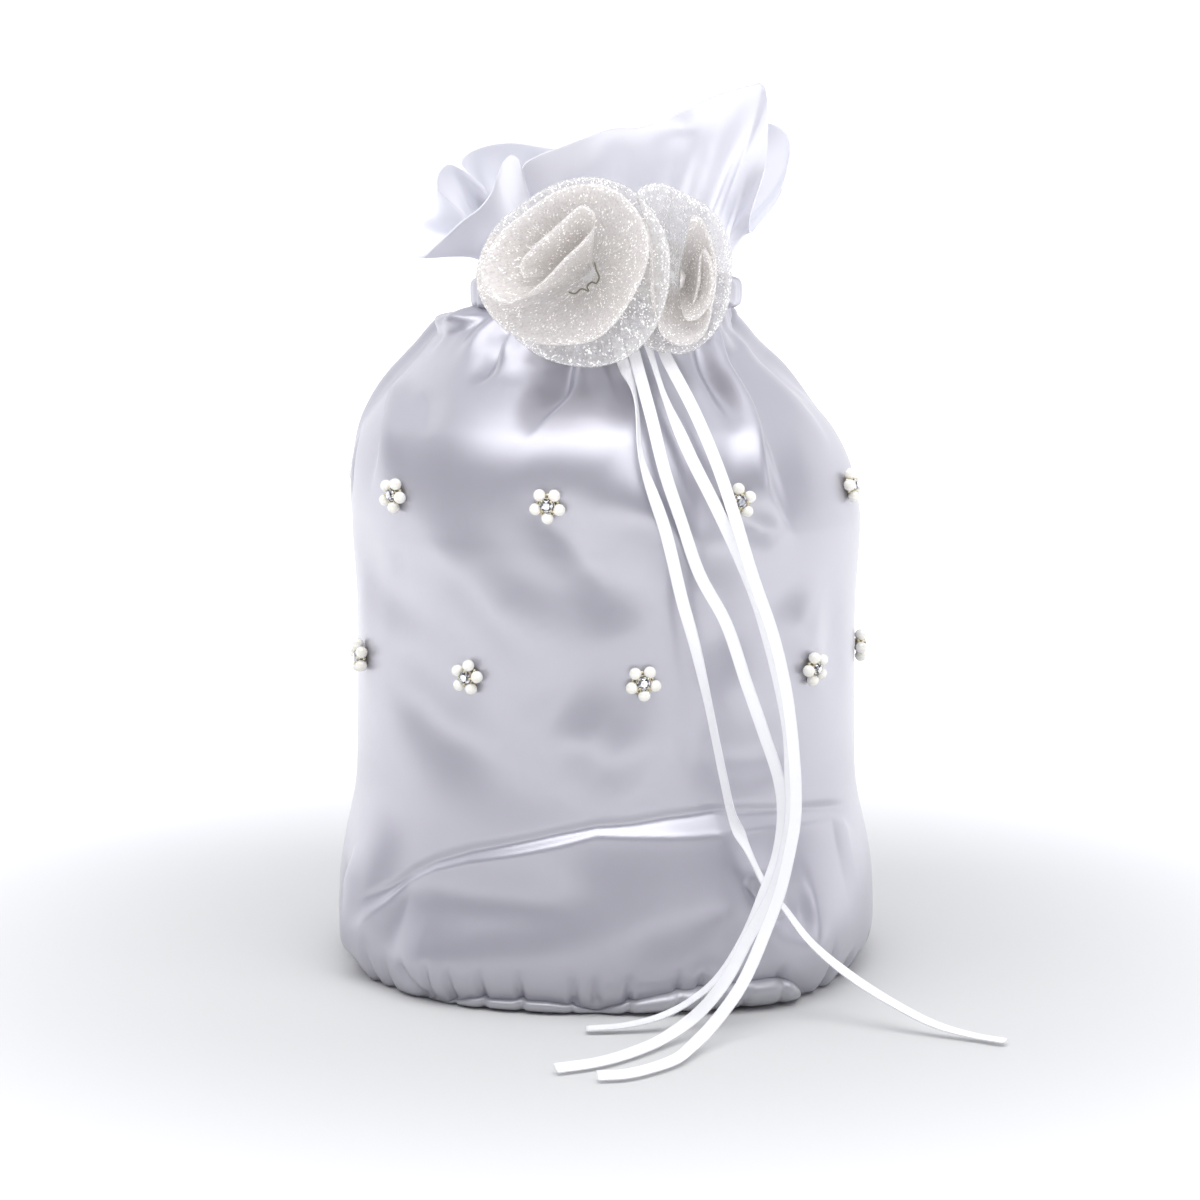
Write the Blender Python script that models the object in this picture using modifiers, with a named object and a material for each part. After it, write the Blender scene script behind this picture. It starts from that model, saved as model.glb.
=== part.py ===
"""Bridal drawstring gift pouch: a round satin bag with two organza roses and beads.

Metres, +Z up. The origin is the centre of the base on the floor, and the roses
face -Y. Soft parts are plain closed solids of the right size and place.
"""
import math

import bmesh
import bpy
from mathutils import Matrix, Vector

MM = 0.001
GAP = 0.3 * MM

# Bag: silhouette as height and outer radius, from the base seam to the neck.
BAG_PROFILE = (
    (5.4, 61.6), (16.0, 62.0), (35.0, 60.6), (60.0, 59.6), (85.0, 59.4), (103.0, 60.2),
    (115.0, 59.4), (123.0, 56.8), (130.0, 52.4), (137.0, 46.6), (143.0, 40.8),
    (148.4, 34.4), (151.4, 30.0), (152.8, 27.9), (161.3, 27.9),
)
SATIN = 0.6 * MM
LINING = 0.4 * MM
LINING_CLEARANCE = 0.8 * MM
BAG_STEPS = 40
ROSE_STEPS = {"backing": 20, "outer": 26, "inner": 22, "bud": 16}
LINING_STEPS = 28
LINING_SHORT = 1.2 * MM

# Base: a satin circle turned up around a stiff board.
BASE_RADIUS = 61.4 * MM
BEND_STEPS = 4
BASE_RIM_HEIGHT = 5.0 * MM
BASE_SATIN = 0.8 * MM
BASE_CORNER = 2.6 * MM
BOARD_RADIUS = 58.6 * MM
BOARD_THICKNESS = 1.5 * MM

# Drawstring channel around the neck, open at the front for the ribbons.
CHANNEL_BOTTOM = 153.2 * MM
CHANNEL_TOP = 161.3 * MM
CHANNEL_INNER_RADIUS = 28.4 * MM
CHANNEL_OUTER_RADIUS = 31.4 * MM
CHANNEL_WALL = 0.4 * MM
CHANNEL_FRONT_ANGLE = -76.0
CHANNEL_OPENING = 28.0
CHANNEL_STEPS = 34
RIBBON_RADIUS = 0.75 * MM
LOOP_ONE_BELOW_TOP = 2.2 * MM
LOOP_TWO_ABOVE_BOTTOM = 2.0 * MM
LOOP_STEPS = 32

# Frill: hem as angle, radius and height; the front is at -90 degrees.
FRILL_FOOT_HEIGHT = 161.7 * MM
FRILL_FOOT_RADIUS = 28.6 * MM
FRILL_THICKNESS = 0.8 * MM
FRILL_HEM = (
    (0.0, 41.0, 198.0), (45.0, 43.0, 204.6), (90.0, 34.0, 194.0), (135.0, 39.0, 188.0),
    (180.0, 43.6, 181.0), (225.0, 37.0, 184.0), (270.0, 33.0, 187.5), (315.0, 37.0, 194.0),
)
FRILL_SIDE_GAP = 0.9
FRILL_AROUND = 22
FRILL_ROWS = 6
FRILL_FLARE = 1.4
FRILL_HINGE_FRONT = (0.0, -28.6 * MM, FRILL_FOOT_HEIGHT)
FRILL_HINGE_BACK = (0.0, 28.6 * MM, FRILL_FOOT_HEIGHT)

# Roses: back centre, facing direction and scale of each.
ROSES = {
    "left": ((-2.6, -40.4, 162.6), (-0.30, -0.94, 0.10), 1.0),
    "right": ((13.6, -32.4, 161.4), (0.64, -0.76, 0.08), 0.77),
}
# Turned rose outlines: distance in front of the backing and radius.
ROSE_OUTER = ((2.2, 5.6), (5.5, 7.6), (10.0, 11.6), (13.4, 16.4), (14.6, 20.2))
ROSE_INNER = ((3.6, 4.6), (8.0, 6.6), (13.0, 9.6), (17.2, 13.6))
ROSE_BUD = ((4.0, 0.0), (4.4, 2.6), (10.0, 5.2), (15.0, 6.0), (19.0, 4.4), (22.0, 0.0))
ROSE_BACKING_RADIUS = 11.0
ROSE_BACKING_THICKNESS = 1.2
ROSE_STEM_RADIUS = 2.4
ROSE_STEM_GAP = 1.4
ROSE_PETAL_THICKNESS = 0.7 * MM

# Bead flowers: name and height of each row, and angles from the front.
FLOWER_ROWS = (
    ("upper", 113.0, (-50.6, -12.7, 28.6, 70.2, 110.0, 149.0, 187.0, 222.0, 256.0)),
    ("lower", 74.0, (-69.4, -31.0, 7.4, 50.5, 86.0, 127.0, 168.0, 208.0, 250.0)),
)
FRONT_ANGLE = -90.0
PEARL_RADIUS = 1.3 * MM
PEARL_CIRCLE = 2.75 * MM
CUP_RADIUS = 1.85 * MM
CUP_SIDES = 8
PEARL_SIDES = 6
PEARL_RINGS = 4
CUP_HEIGHT = 1.3 * MM
STONE_RADIUS = 1.5 * MM
STONE_HEIGHT = 0.9 * MM
STONE_TABLE = 0.55
PEARLS = 5

# Free ribbon tails, as route points from the neck to the floor end.
TAIL_POINTS = 36
CURVE_STEPS = 24
TAIL_ROUTES = {
    "ribbon_tail_one": (
        (2.4, -41.6, 147.6), (3.1, -43.0, 144.7), (6.3, -51.0, 135.3), (7.4, -58.5, 122.8),
        (12.7, -61.5, 107.9), (16.0, -62.0, 92.7), (18.8, -62.5, 84.0), (21.9, -63.0, 70.9),
        (25.5, -63.0, 53.6), (27.3, -63.0, 45.6), (31.5, -60.5, 36.5), (35.6, -59.5, 28.0),
        (38.9, -60.0, 24.0), (42.5, -63.5, 19.9), (44.8, -64.5, 17.4), (52.0, -69.0, 11.7),
        (61.6, -74.0, 6.4), (71.0, -78.0, 2.6), (79.0, -81.3, 0.9), (85.0, -85.7, 0.9),
    ),
    "ribbon_tail_two": (
        (5.4, -41.8, 147.4), (5.7, -43.0, 145.3), (9.8, -54.0, 131.7), (12.3, -59.5, 120.7),
        (16.0, -61.0, 109.8), (20.1, -61.0, 98.3), (26.0, -61.0, 87.5), (30.0, -61.0, 74.9),
        (34.4, -61.0, 63.0), (37.8, -61.0, 53.2), (39.0, -61.0, 47.2), (37.8, -61.0, 36.2),
        (36.4, -61.5, 31.3), (34.5, -62.5, 28.0), (30.7, -65.0, 18.7), (27.0, -68.0, 12.3),
        (22.5, -71.0, 8.9), (19.0, -72.5, 6.6), (14.9, -74.0, 4.6), (9.2, -75.0, 2.6),
        (2.4, -75.5, 1.6), (-4.3, -74.4, 0.9),
    ),
    "ribbon_tail_three": (
        (8.6, -41.2, 147.6), (9.3, -43.0, 145.5), (12.9, -50.5, 135.3), (18.2, -57.0, 123.5),
        (23.4, -60.0, 113.4), (28.6, -61.5, 102.9), (32.3, -62.0, 92.9), (34.9, -62.0, 85.0),
        (37.4, -62.0, 75.1), (39.7, -62.0, 63.2), (40.0, -62.0, 53.4), (40.5, -62.3, 47.4),
        (38.9, -62.6, 36.5), (37.8, -63.3, 31.6), (30.5, -67.5, 18.5), (26.0, -72.0, 10.5),
        (20.3, -77.5, 5.3), (17.5, -80.0, 3.4), (13.2, -83.4, 1.55), (6.3, -93.5, 1.55),
        (-1.7, -101.4, 1.55), (-10.5, -105.7, 1.55),
    ),
    "ribbon_tail_four": (
        (12.0, -40.0, 147.2), (13.0, -42.0, 144.3), (19.3, -50.0, 132.5), (24.6, -56.0, 120.4),
        (28.5, -63.0, 108.9), (31.8, -64.0, 98.0), (35.9, -64.0, 85.3), (38.6, -64.0, 73.2),
        (40.8, -64.0, 53.8), (41.3, -64.3, 47.8), (39.6, -65.0, 37.1), (39.2, -65.5, 32.3),
        (35.8, -68.0, 23.0), (32.6, -70.0, 17.3), (28.7, -77.0, 10.3), (22.8, -84.0, 4.8),
        (17.3, -93.7, 1.55), (14.4, -100.0, 1.55), (8.9, -105.7, 1.55), (3.7, -110.4, 1.55),
        (-1.8, -111.0, 1.55),
    ),
}

SATIN_WHITE = (0.80, 0.80, 0.87)
LINING_WHITE = (0.78, 0.78, 0.80)
ORGANZA = (0.72, 0.68, 0.63)
IVORY = (0.86, 0.82, 0.72)
GLASS = (0.85, 0.88, 0.92)
BOARD = (0.62, 0.58, 0.50)


def clear_scene():
    for item in list(bpy.data.objects):
        bpy.data.objects.remove(item, do_unlink=True)


def make_collection(name):
    group = bpy.data.collections.new(name)
    bpy.context.scene.collection.children.link(group)
    return group


def material(name, color, roughness, metallic=0.0):
    made = bpy.data.materials.new(name)
    made.use_nodes = True
    shader = made.node_tree.nodes["Principled BSDF"]
    shader.inputs["Base Color"].default_value = (*color, 1.0)
    shader.inputs["Roughness"].default_value = roughness
    shader.inputs["Metallic"].default_value = metallic
    made.diffuse_color = (*color, 1.0)
    return made


def add_object(name, data, mat=None):
    made = bpy.data.objects.new(name, data)
    PARTS.objects.link(made)
    if mat:
        data.materials.append(mat)
    return made


def smooth_curve(points, count):
    """Points at even steps of length along a centripetal Catmull-Rom curve."""
    route = [Vector(p) for p in points]
    route = [2 * route[0] - route[1], *route, 2 * route[-1] - route[-2]]
    dense = []
    for a, b, c, d in zip(route, route[1:], route[2:], route[3:]):
        t1 = (b - a).length ** 0.5
        t2 = t1 + (c - b).length ** 0.5
        t3 = t2 + (d - c).length ** 0.5
        for step in range(CURVE_STEPS):
            t = t1 + (t2 - t1) * step / CURVE_STEPS
            ab = a.lerp(b, t / t1)
            bc = b.lerp(c, (t - t1) / (t2 - t1))
            cd = c.lerp(d, (t - t2) / (t3 - t2))
            abc = ab.lerp(bc, t / t2)
            bcd = bc.lerp(cd, (t - t1) / (t3 - t1))
            dense.append(abc.lerp(bcd, (t - t1) / (t2 - t1)))
    dense.append(route[-2])
    lengths = [0.0]
    for a, b in zip(dense, dense[1:]):
        lengths.append(lengths[-1] + (b - a).length)
    picked = []
    place = 0
    for index in range(count):
        target = lengths[-1] * index / (count - 1)
        while place < len(dense) - 2 and lengths[place + 1] < target:
            place += 1
        share = (target - lengths[place]) / max(lengths[place + 1] - lengths[place], 1e-9)
        picked.append(dense[place].lerp(dense[place + 1], share))
    return picked


def turned(name, profile, mat, steps, closed=False, thickness=0.0):
    """A Screw modifier round Z on a profile of (radius, height) points."""
    data = bpy.data.meshes.new(name)
    verts = [(radius, 0.0, height) for radius, height in profile]
    edges = [(i, i + 1) for i in range(len(verts) - 1)]
    if closed:
        edges.append((len(verts) - 1, 0))
    data.from_pydata(verts, edges, [])
    made = add_object(name, data, mat)
    screw = made.modifiers.new("Turn", "SCREW")
    screw.steps = steps
    screw.render_steps = steps
    screw.use_merge_vertices = True
    screw.merge_threshold = 0.00001
    screw.use_normal_calculate = False
    if thickness:
        wall = made.modifiers.new("Wall", "SOLIDIFY")
        wall.thickness = thickness
        wall.offset = 0.0
        wall.use_even_offset = True
    return made


def tube(name, points, radius, mat):
    data = bpy.data.curves.new(name, "CURVE")
    data.dimensions = "3D"
    data.bevel_depth = radius
    data.bevel_resolution = 2
    data.use_fill_caps = True
    spline = data.splines.new("POLY")
    spline.points.add(len(points) - 1)
    for point, place in zip(spline.points, points):
        point.co = (*place, 1.0)
    return add_object(name, data, mat)


def frozen(source, name, mat):
    """The evaluated mesh of a modelled object, as plain mesh data."""
    graph = bpy.context.evaluated_depsgraph_get()
    data = bpy.data.meshes.new_from_object(source.evaluated_get(graph))
    data.name = name
    data.materials.clear()
    data.materials.append(mat)
    return data


def bag_profile(inset, bottom, top):
    """The bag's outline from top to bottom, moved inwards by a distance."""
    points = [Vector((radius * MM, height * MM)) for height, radius in BAG_PROFILE]
    moved = []
    for index, point in enumerate(points):
        before = points[max(index - 1, 0)]
        after = points[min(index + 1, len(points) - 1)]
        along = (after - before).normalized()
        moved.append(point - inset * Vector((along.y, -along.x)))
    moved[0].y = bottom
    moved[-1].y = top
    return [(p.x, p.y) for p in reversed(moved)]


def bag_place(height, clearance):
    """Radius and outward slope of the bag at a height."""
    points = [(h * MM, r * MM) for h, r in BAG_PROFILE]
    for (low, r_low), (high, r_high) in zip(points, points[1:]):
        if low <= height <= high:
            share = (height - low) / (high - low)
            slope = math.atan2(r_low - r_high, high - low)
            radius = r_low + (r_high - r_low) * share
            return radius + clearance / math.cos(slope), slope


def make_bag(satin, lining):
    turned("satin_body", bag_profile(SATIN / 2, BAG_PROFILE[0][0] * MM, BAG_PROFILE[-1][0] * MM),
           satin, BAG_STEPS, thickness=SATIN)
    inset = SATIN + LINING_CLEARANCE + LINING / 2
    turned("lining", bag_profile(inset, BAG_PROFILE[0][0] * MM, BAG_PROFILE[-1][0] * MM - LINING_SHORT),
           lining, LINING_STEPS, thickness=LINING)


def make_base(satin, board, lining):
    half = BASE_SATIN / 2
    rim = BASE_RADIUS - half
    bend = []
    for step in range(BEND_STEPS + 1):
        angle = math.radians(90 * step / BEND_STEPS)
        across = rim - BASE_CORNER + BASE_CORNER * math.cos(angle)
        bend.append((across, half + BASE_CORNER - BASE_CORNER * math.sin(angle)))
    section = [(rim, BASE_RIM_HEIGHT), *bend, (0.0, half)]
    turned("base_panel", section, satin, BAG_STEPS, thickness=BASE_SATIN)
    floor = BASE_SATIN + GAP
    top = floor + BOARD_THICKNESS
    turned("base_stiffener", [(0.0, top), (BOARD_RADIUS, top), (BOARD_RADIUS, floor), (0.0, floor)],
           board, BAG_STEPS)
    low = top + GAP
    high = low + LINING
    turned("base_lining", [(0.0, high), (BOARD_RADIUS, high), (BOARD_RADIUS, low), (0.0, low)],
           lining, BAG_STEPS)


def make_channel(satin, ribbon):
    inner = CHANNEL_INNER_RADIUS + CHANNEL_WALL / 2
    outer = CHANNEL_OUTER_RADIUS - CHANNEL_WALL / 2
    low = CHANNEL_BOTTOM + CHANNEL_WALL / 2
    high = CHANNEL_TOP - CHANNEL_WALL / 2
    band = turned("drawstring_channel", [(outer, high), (outer, low), (inner, low), (inner, high)],
                  satin, CHANNEL_STEPS, closed=True, thickness=CHANNEL_WALL)
    screw = band.modifiers["Turn"]
    screw.angle = math.radians(360 - CHANNEL_OPENING)
    screw.use_merge_vertices = False
    start = CHANNEL_FRONT_ANGLE + CHANNEL_OPENING / 2
    span = 360 - CHANNEL_OPENING
    band.rotation_euler.z = math.radians(start)
    middle = (inner + outer) / 2
    heights = {
        "drawstring_loop_one": high - LOOP_ONE_BELOW_TOP,
        "drawstring_loop_two": low + LOOP_TWO_ABOVE_BOTTOM,
    }
    for name, height in heights.items():
        points = []
        for step in range(LOOP_STEPS + 1):
            angle = math.radians(start + span * step / LOOP_STEPS)
            points.append((middle * math.cos(angle), middle * math.sin(angle), height))
        tube(name, points, RIBBON_RADIUS, ribbon)


def hem_at(angle):
    """Hem radius and height at an angle in degrees, smooth all the way round."""
    count = len(FRILL_HEM)
    place = (angle % 360.0) / (360.0 / count)
    index = int(place)
    t = place - index
    picks = [FRILL_HEM[(index + step) % count] for step in (-1, 0, 1, 2)]
    out = []
    for axis in (1, 2):
        a, b, c, d = (pick[axis] for pick in picks)
        out.append(0.5 * (2 * b + (c - a) * t + (2 * a - 5 * b + 4 * c - d) * t * t
                          + (3 * b - a - 3 * c + d) * t ** 3) * MM)
    return out


def make_frill_half(name, first, last, hinge, mat):
    """Half of the ruffled lip, from the round neck up to the uneven hem."""
    verts = []
    faces = []
    for row in range(FRILL_ROWS + 1):
        rise = row / FRILL_ROWS
        for step in range(FRILL_AROUND + 1):
            angle = first + (last - first) * step / FRILL_AROUND
            radius, height = hem_at(angle)
            flare = rise ** FRILL_FLARE
            r = FRILL_FOOT_RADIUS + (radius - FRILL_FOOT_RADIUS) * flare
            z = FRILL_FOOT_HEIGHT + (height - FRILL_FOOT_HEIGHT) * rise
            turn = math.radians(angle)
            verts.append(Vector((r * math.cos(turn), r * math.sin(turn), z)) - Vector(hinge))
    wide = FRILL_AROUND + 1
    for row in range(FRILL_ROWS):
        for step in range(FRILL_AROUND):
            low = row * wide + step
            faces.append((low, low + 1, low + wide + 1, low + wide))
    data = bpy.data.meshes.new(name)
    data.from_pydata(verts, [], faces)
    made = add_object(name, data, mat)
    made.location = hinge
    wall = made.modifiers.new("Wall", "SOLIDIFY")
    wall.thickness = FRILL_THICKNESS
    wall.offset = 0.0
    return made


def make_frill(mat):
    make_frill_half("frill_front", -180 + FRILL_SIDE_GAP, -FRILL_SIDE_GAP, FRILL_HINGE_FRONT, mat)
    make_frill_half("frill_back", FRILL_SIDE_GAP, 180 - FRILL_SIDE_GAP, FRILL_HINGE_BACK, mat)


def make_rose(side, organza, backing):
    base, facing, scale = ROSES[side]
    normal = Vector(facing).normalized()
    turn = normal.to_track_quat("Z", "Y").to_matrix().to_4x4()
    frame = Matrix.Translation(Vector(base) * MM) @ turn

    def place(made):
        made.matrix_world = frame

    def outline(points):
        return [(radius * scale * MM, depth * scale * MM) for depth, radius in points]

    reach = math.hypot(base[0], base[1])
    outward = Vector((base[0], base[1], 0.0)).normalized()
    room = reach - CHANNEL_OUTER_RADIUS / MM - ROSE_STEM_GAP
    stem = room / normal.dot(outward)
    disc = ROSE_BACKING_RADIUS * scale
    felt = ((0.0, 0.0), (0.0, disc), (-ROSE_BACKING_THICKNESS, disc),
            (-ROSE_BACKING_THICKNESS, ROSE_STEM_RADIUS), (-stem, ROSE_STEM_RADIUS), (-stem, 0.0))
    pad = [(radius * MM, depth * MM) for depth, radius in felt]
    place(turned(f"rose_{side}_backing", pad, backing, ROSE_STEPS["backing"]))
    outer = list(reversed(outline(ROSE_OUTER)))
    place(turned(f"rose_{side}_outer_petals", outer, organza, ROSE_STEPS["outer"],
                 thickness=ROSE_PETAL_THICKNESS))
    inner = list(reversed(outline(ROSE_INNER)))
    place(turned(f"rose_{side}_inner_petals", inner, organza, ROSE_STEPS["inner"],
                 thickness=ROSE_PETAL_THICKNESS))
    place(turned(f"rose_{side}_bud", list(reversed(outline(ROSE_BUD))), organza, ROSE_STEPS["bud"]))


def make_tails(mat):
    for name, route in TAIL_ROUTES.items():
        places = smooth_curve([Vector(p) * MM for p in route], TAIL_POINTS)
        tube(name, places, RIBBON_RADIUS, mat)


def pearl_flower_mesh(mat):
    """Five pearls joined to the metal cup that holds the stone; its back is at z = 0."""
    bpy.ops.mesh.primitive_cylinder_add(vertices=CUP_SIDES, radius=CUP_RADIUS, depth=CUP_HEIGHT,
                                        location=(0.0, 0.0, CUP_HEIGHT / 2))
    cup = bpy.context.object
    cup.name = "flower_cup"
    for index in range(PEARLS):
        angle = math.radians(90 + 360 * index / PEARLS)
        place = (PEARL_CIRCLE * math.cos(angle), PEARL_CIRCLE * math.sin(angle), PEARL_RADIUS)
        bpy.ops.mesh.primitive_uv_sphere_add(segments=PEARL_SIDES, ring_count=PEARL_RINGS,
                                             radius=PEARL_RADIUS, location=place)
        pearl = bpy.context.object
        for group in list(pearl.users_collection):
            group.objects.unlink(pearl)
        CUTTERS.objects.link(pearl)
        pearl.hide_render = True
        pearl.display_type = "WIRE"
    join = cup.modifiers.new("Pearls", "BOOLEAN")
    join.operation = "UNION"
    join.operand_type = "COLLECTION"
    join.collection = CUTTERS
    join.solver = "EXACT"
    data = frozen(cup, "pearl_flower", mat)
    data.transform(cup.matrix_world)
    bpy.data.objects.remove(cup, do_unlink=True)
    return data


def stone_mesh(mat):
    """A faceted stone: a flat table over a conical crown and a short pavilion."""
    shape = bmesh.new()
    bmesh.ops.create_cone(shape, cap_ends=True, segments=CUP_SIDES, radius1=STONE_RADIUS,
                          radius2=STONE_RADIUS * STONE_TABLE, depth=STONE_HEIGHT)
    data = bpy.data.meshes.new("rhinestone")
    shape.to_mesh(data)
    shape.free()
    data.materials.append(mat)
    return data


def make_flowers(pearl, glass):
    flower = pearl_flower_mesh(pearl)
    stone = stone_mesh(glass)
    for row, height, angles in FLOWER_ROWS:
        radius, slope = bag_place(height * MM, GAP)
        for index, from_front in enumerate(angles):
            angle = math.radians(FRONT_ANGLE + from_front)
            frame = (Matrix.Rotation(angle, 4, "Z") @ Matrix.Translation((radius, 0.0, height * MM))
                     @ Matrix.Rotation(math.pi / 2 - slope, 4, "Y"))
            made = add_object(f"pearl_flower_{row}_{index + 1}", flower)
            made.matrix_world = frame
            gem = add_object(f"rhinestone_{row}_{index + 1}", stone)
            gem.matrix_world = frame @ Matrix.Translation((0.0, 0.0, CUP_HEIGHT + GAP + STONE_HEIGHT / 2))


def main():
    satin = material("white_satin", SATIN_WHITE, 0.35)
    lining = material("white_lining", LINING_WHITE, 0.6)
    organza = material("ivory_organza", ORGANZA, 0.45)
    ribbon = material("white_ribbon", SATIN_WHITE, 0.3)
    pearl = material("ivory_pearl", IVORY, 0.2)
    glass = material("clear_stone", GLASS, 0.05)
    board = material("base_board", BOARD, 0.8)
    felt = material("rose_felt", LINING_WHITE, 0.9)
    make_bag(satin, lining)
    make_base(satin, board, lining)
    make_channel(satin, ribbon)
    make_frill(satin)
    for side in ROSES:
        make_rose(side, organza, felt)
    make_tails(ribbon)
    make_flowers(pearl, glass)


clear_scene()
PARTS = make_collection("drawstring_gift_pouch")
CUTTERS = make_collection("cutters")
main()
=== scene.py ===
"""Bridal satin drawstring pouch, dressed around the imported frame. Metres, front at -Y."""
import math

import bmesh
import bpy
import numpy as np
from mathutils import Matrix, Vector


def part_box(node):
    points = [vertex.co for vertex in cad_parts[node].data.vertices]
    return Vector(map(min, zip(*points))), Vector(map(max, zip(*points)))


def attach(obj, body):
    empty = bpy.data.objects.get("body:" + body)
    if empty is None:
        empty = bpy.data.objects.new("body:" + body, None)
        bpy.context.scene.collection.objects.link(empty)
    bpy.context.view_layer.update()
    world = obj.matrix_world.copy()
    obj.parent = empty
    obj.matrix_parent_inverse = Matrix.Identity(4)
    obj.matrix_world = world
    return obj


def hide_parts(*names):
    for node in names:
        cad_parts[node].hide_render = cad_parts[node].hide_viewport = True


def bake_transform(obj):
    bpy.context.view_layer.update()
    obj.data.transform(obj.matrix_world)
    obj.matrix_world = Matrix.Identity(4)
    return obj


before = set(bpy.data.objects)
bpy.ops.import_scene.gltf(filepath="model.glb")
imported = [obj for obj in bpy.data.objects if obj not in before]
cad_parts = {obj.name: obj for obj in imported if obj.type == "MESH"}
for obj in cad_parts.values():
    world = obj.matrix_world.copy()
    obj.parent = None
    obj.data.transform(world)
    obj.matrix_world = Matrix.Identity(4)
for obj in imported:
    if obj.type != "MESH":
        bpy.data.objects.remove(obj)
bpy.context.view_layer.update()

MM = 0.001
RNG = np.random.default_rng(11)
SCENE = bpy.context.scene

CAMERA_PLACE = (-0.0014, -0.6932, 0.1814)
CAMERA_ELEVATION = 8.0
CAMERA_LENS = 88.2

RIBBON_WIDTH = 2.7 * MM
RIBBON_THICKNESS = 0.22 * MM
FRONT = (0.0, -1.0, 0.12)
UP = (0.0, -0.12, 1.0)

# Ribbon tails: (x, y, z) in millimetres and the way the ribbon's face looks there.
TAILS = {
    "ribbon_tail_one": (
        (2.4, -41.6, 148.4, (-0.6, -0.8, 0.3)), (3.2, -43.6, 144.6, (-0.5, -0.8, 0.4)),
        (6.3, -51.6, 135.6, (0.95, -0.3, 0.2)), (7.6, -59.4, 123.0, (0.9, -0.5, 0.1)),
        (12.7, -62.6, 107.9, FRONT), (16.4, -63.0, 92.7, FRONT), (19.0, -63.2, 83.6, (-0.5, -0.9, 0.1)),
        (22.0, -63.4, 70.8, (-0.8, -0.6, 0.1)), (25.6, -63.2, 53.6, (-0.8, -0.6, 0.2)),
        (27.6, -62.4, 45.0, (-0.7, -0.7, 0.2)), (31.4, -60.6, 36.2, (0.8, -0.5, 0.5)),
        (35.2, -59.4, 28.4, (0.7, -0.4, 0.6)), (38.9, -60.6, 24.2, (0.6, -0.3, 0.8)),
        (44.6, -64.6, 17.4, (0.5, -0.4, 0.8)), (52.2, -69.0, 11.6, (0.3, -0.5, 0.8)),
        (61.6, -74.0, 6.4, (0.2, -0.4, 0.9)), (71.0, -78.4, 2.5, (0.1, -0.3, 1.0)),
        (79.0, -81.6, 1.0, UP), (85.2, -85.2, 0.9, UP),
    ),
    "ribbon_tail_two": (
        (5.4, -41.8, 148.2, FRONT), (6.2, -44.4, 144.8, FRONT), (9.8, -54.8, 131.6, FRONT),
        (12.5, -60.0, 120.7, FRONT), (16.2, -61.6, 109.6, (0.3, -0.9, 0.1)), (20.2, -61.4, 98.2, FRONT),
        (26.0, -61.2, 87.4, FRONT), (30.6, -61.0, 74.0, FRONT), (34.6, -61.0, 62.6, (-0.3, -0.9, 0.1)),
        (37.8, -61.0, 52.6, (-0.5, -0.9, 0.1)), (38.6, -61.0, 45.0, (-0.6, -0.8, 0.1)),
        (37.6, -61.2, 36.2, (-0.6, -0.8, 0.2)), (34.6, -62.8, 28.0, (-0.6, -0.7, 0.4)),
        (30.4, -65.4, 18.6, (-0.6, -0.6, 0.6)), (24.6, -69.4, 10.8, (-0.6, -0.3, 0.8)),
        (18.8, -72.2, 6.4, (-0.4, -0.2, 0.9)), (12.4, -74.2, 3.4, (-0.2, -0.2, 1.0)),
        (4.6, -75.4, 1.6, UP), (-4.4, -76.0, 0.9, UP),
    ),
    "ribbon_tail_three": (
        (8.6, -41.2, 148.4, (0.5, -0.8, 0.2)), (9.8, -43.8, 144.6, (0.8, -0.6, 0.2)),
        (12.9, -51.4, 135.4, (0.8, -0.6, 0.1)), (18.2, -57.8, 123.6, FRONT), (23.4, -61.2, 113.4, FRONT),
        (28.2, -62.0, 103.2, FRONT), (32.4, -62.2, 93.0, FRONT), (35.0, -62.4, 84.6, FRONT),
        (37.7, -62.6, 74.0, FRONT), (39.7, -62.8, 63.2, FRONT), (40.2, -62.8, 53.4, FRONT),
        (40.4, -62.8, 46.0, FRONT), (39.0, -63.2, 36.6, FRONT), (36.4, -64.4, 28.2, FRONT),
        (30.8, -67.6, 18.6, FRONT), (26.0, -72.0, 10.8, FRONT), (20.4, -77.4, 5.4, FRONT),
        (13.4, -84.4, 2.0, (-0.1, -0.8, 0.6)), (6.4, -93.4, 1.3, (0.1, -0.6, 0.8)),
        (-1.8, -101.4, 1.2, (0.1, -0.5, 0.85)), (-10.6, -105.8, 1.2, (0.1, -0.5, 0.85)),
    ),
    "ribbon_tail_four": (
        (12.4, -41.0, 146.4, FRONT), (13.2, -42.6, 144.2, FRONT), (19.3, -50.8, 132.6, FRONT),
        (24.4, -57.4, 120.6, FRONT), (27.8, -62.8, 110.4, FRONT), (31.4, -64.4, 98.6, FRONT),
        (36.0, -64.6, 85.4, FRONT), (38.9, -65.0, 73.2, FRONT), (40.6, -65.4, 60.0, FRONT),
        (41.2, -65.4, 50.0, FRONT), (41.0, -65.6, 44.0, FRONT), (39.7, -66.2, 36.8, FRONT),
        (38.0, -67.2, 29.8, FRONT), (35.2, -69.4, 22.4, FRONT), (29.4, -76.2, 11.2, FRONT),
        (23.2, -84.0, 4.8, FRONT), (17.6, -93.2, 1.8, (-0.1, -0.8, 0.6)),
        (14.2, -100.2, 1.4, (0.1, -0.6, 0.8)),
        (8.8, -106.0, 1.2, (0.1, -0.5, 0.85)), (3.6, -109.8, 1.2, (0.1, -0.5, 0.85)),
        (-2.0, -110.8, 1.2, (0.1, -0.5, 0.85)),
    ),
}

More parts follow.
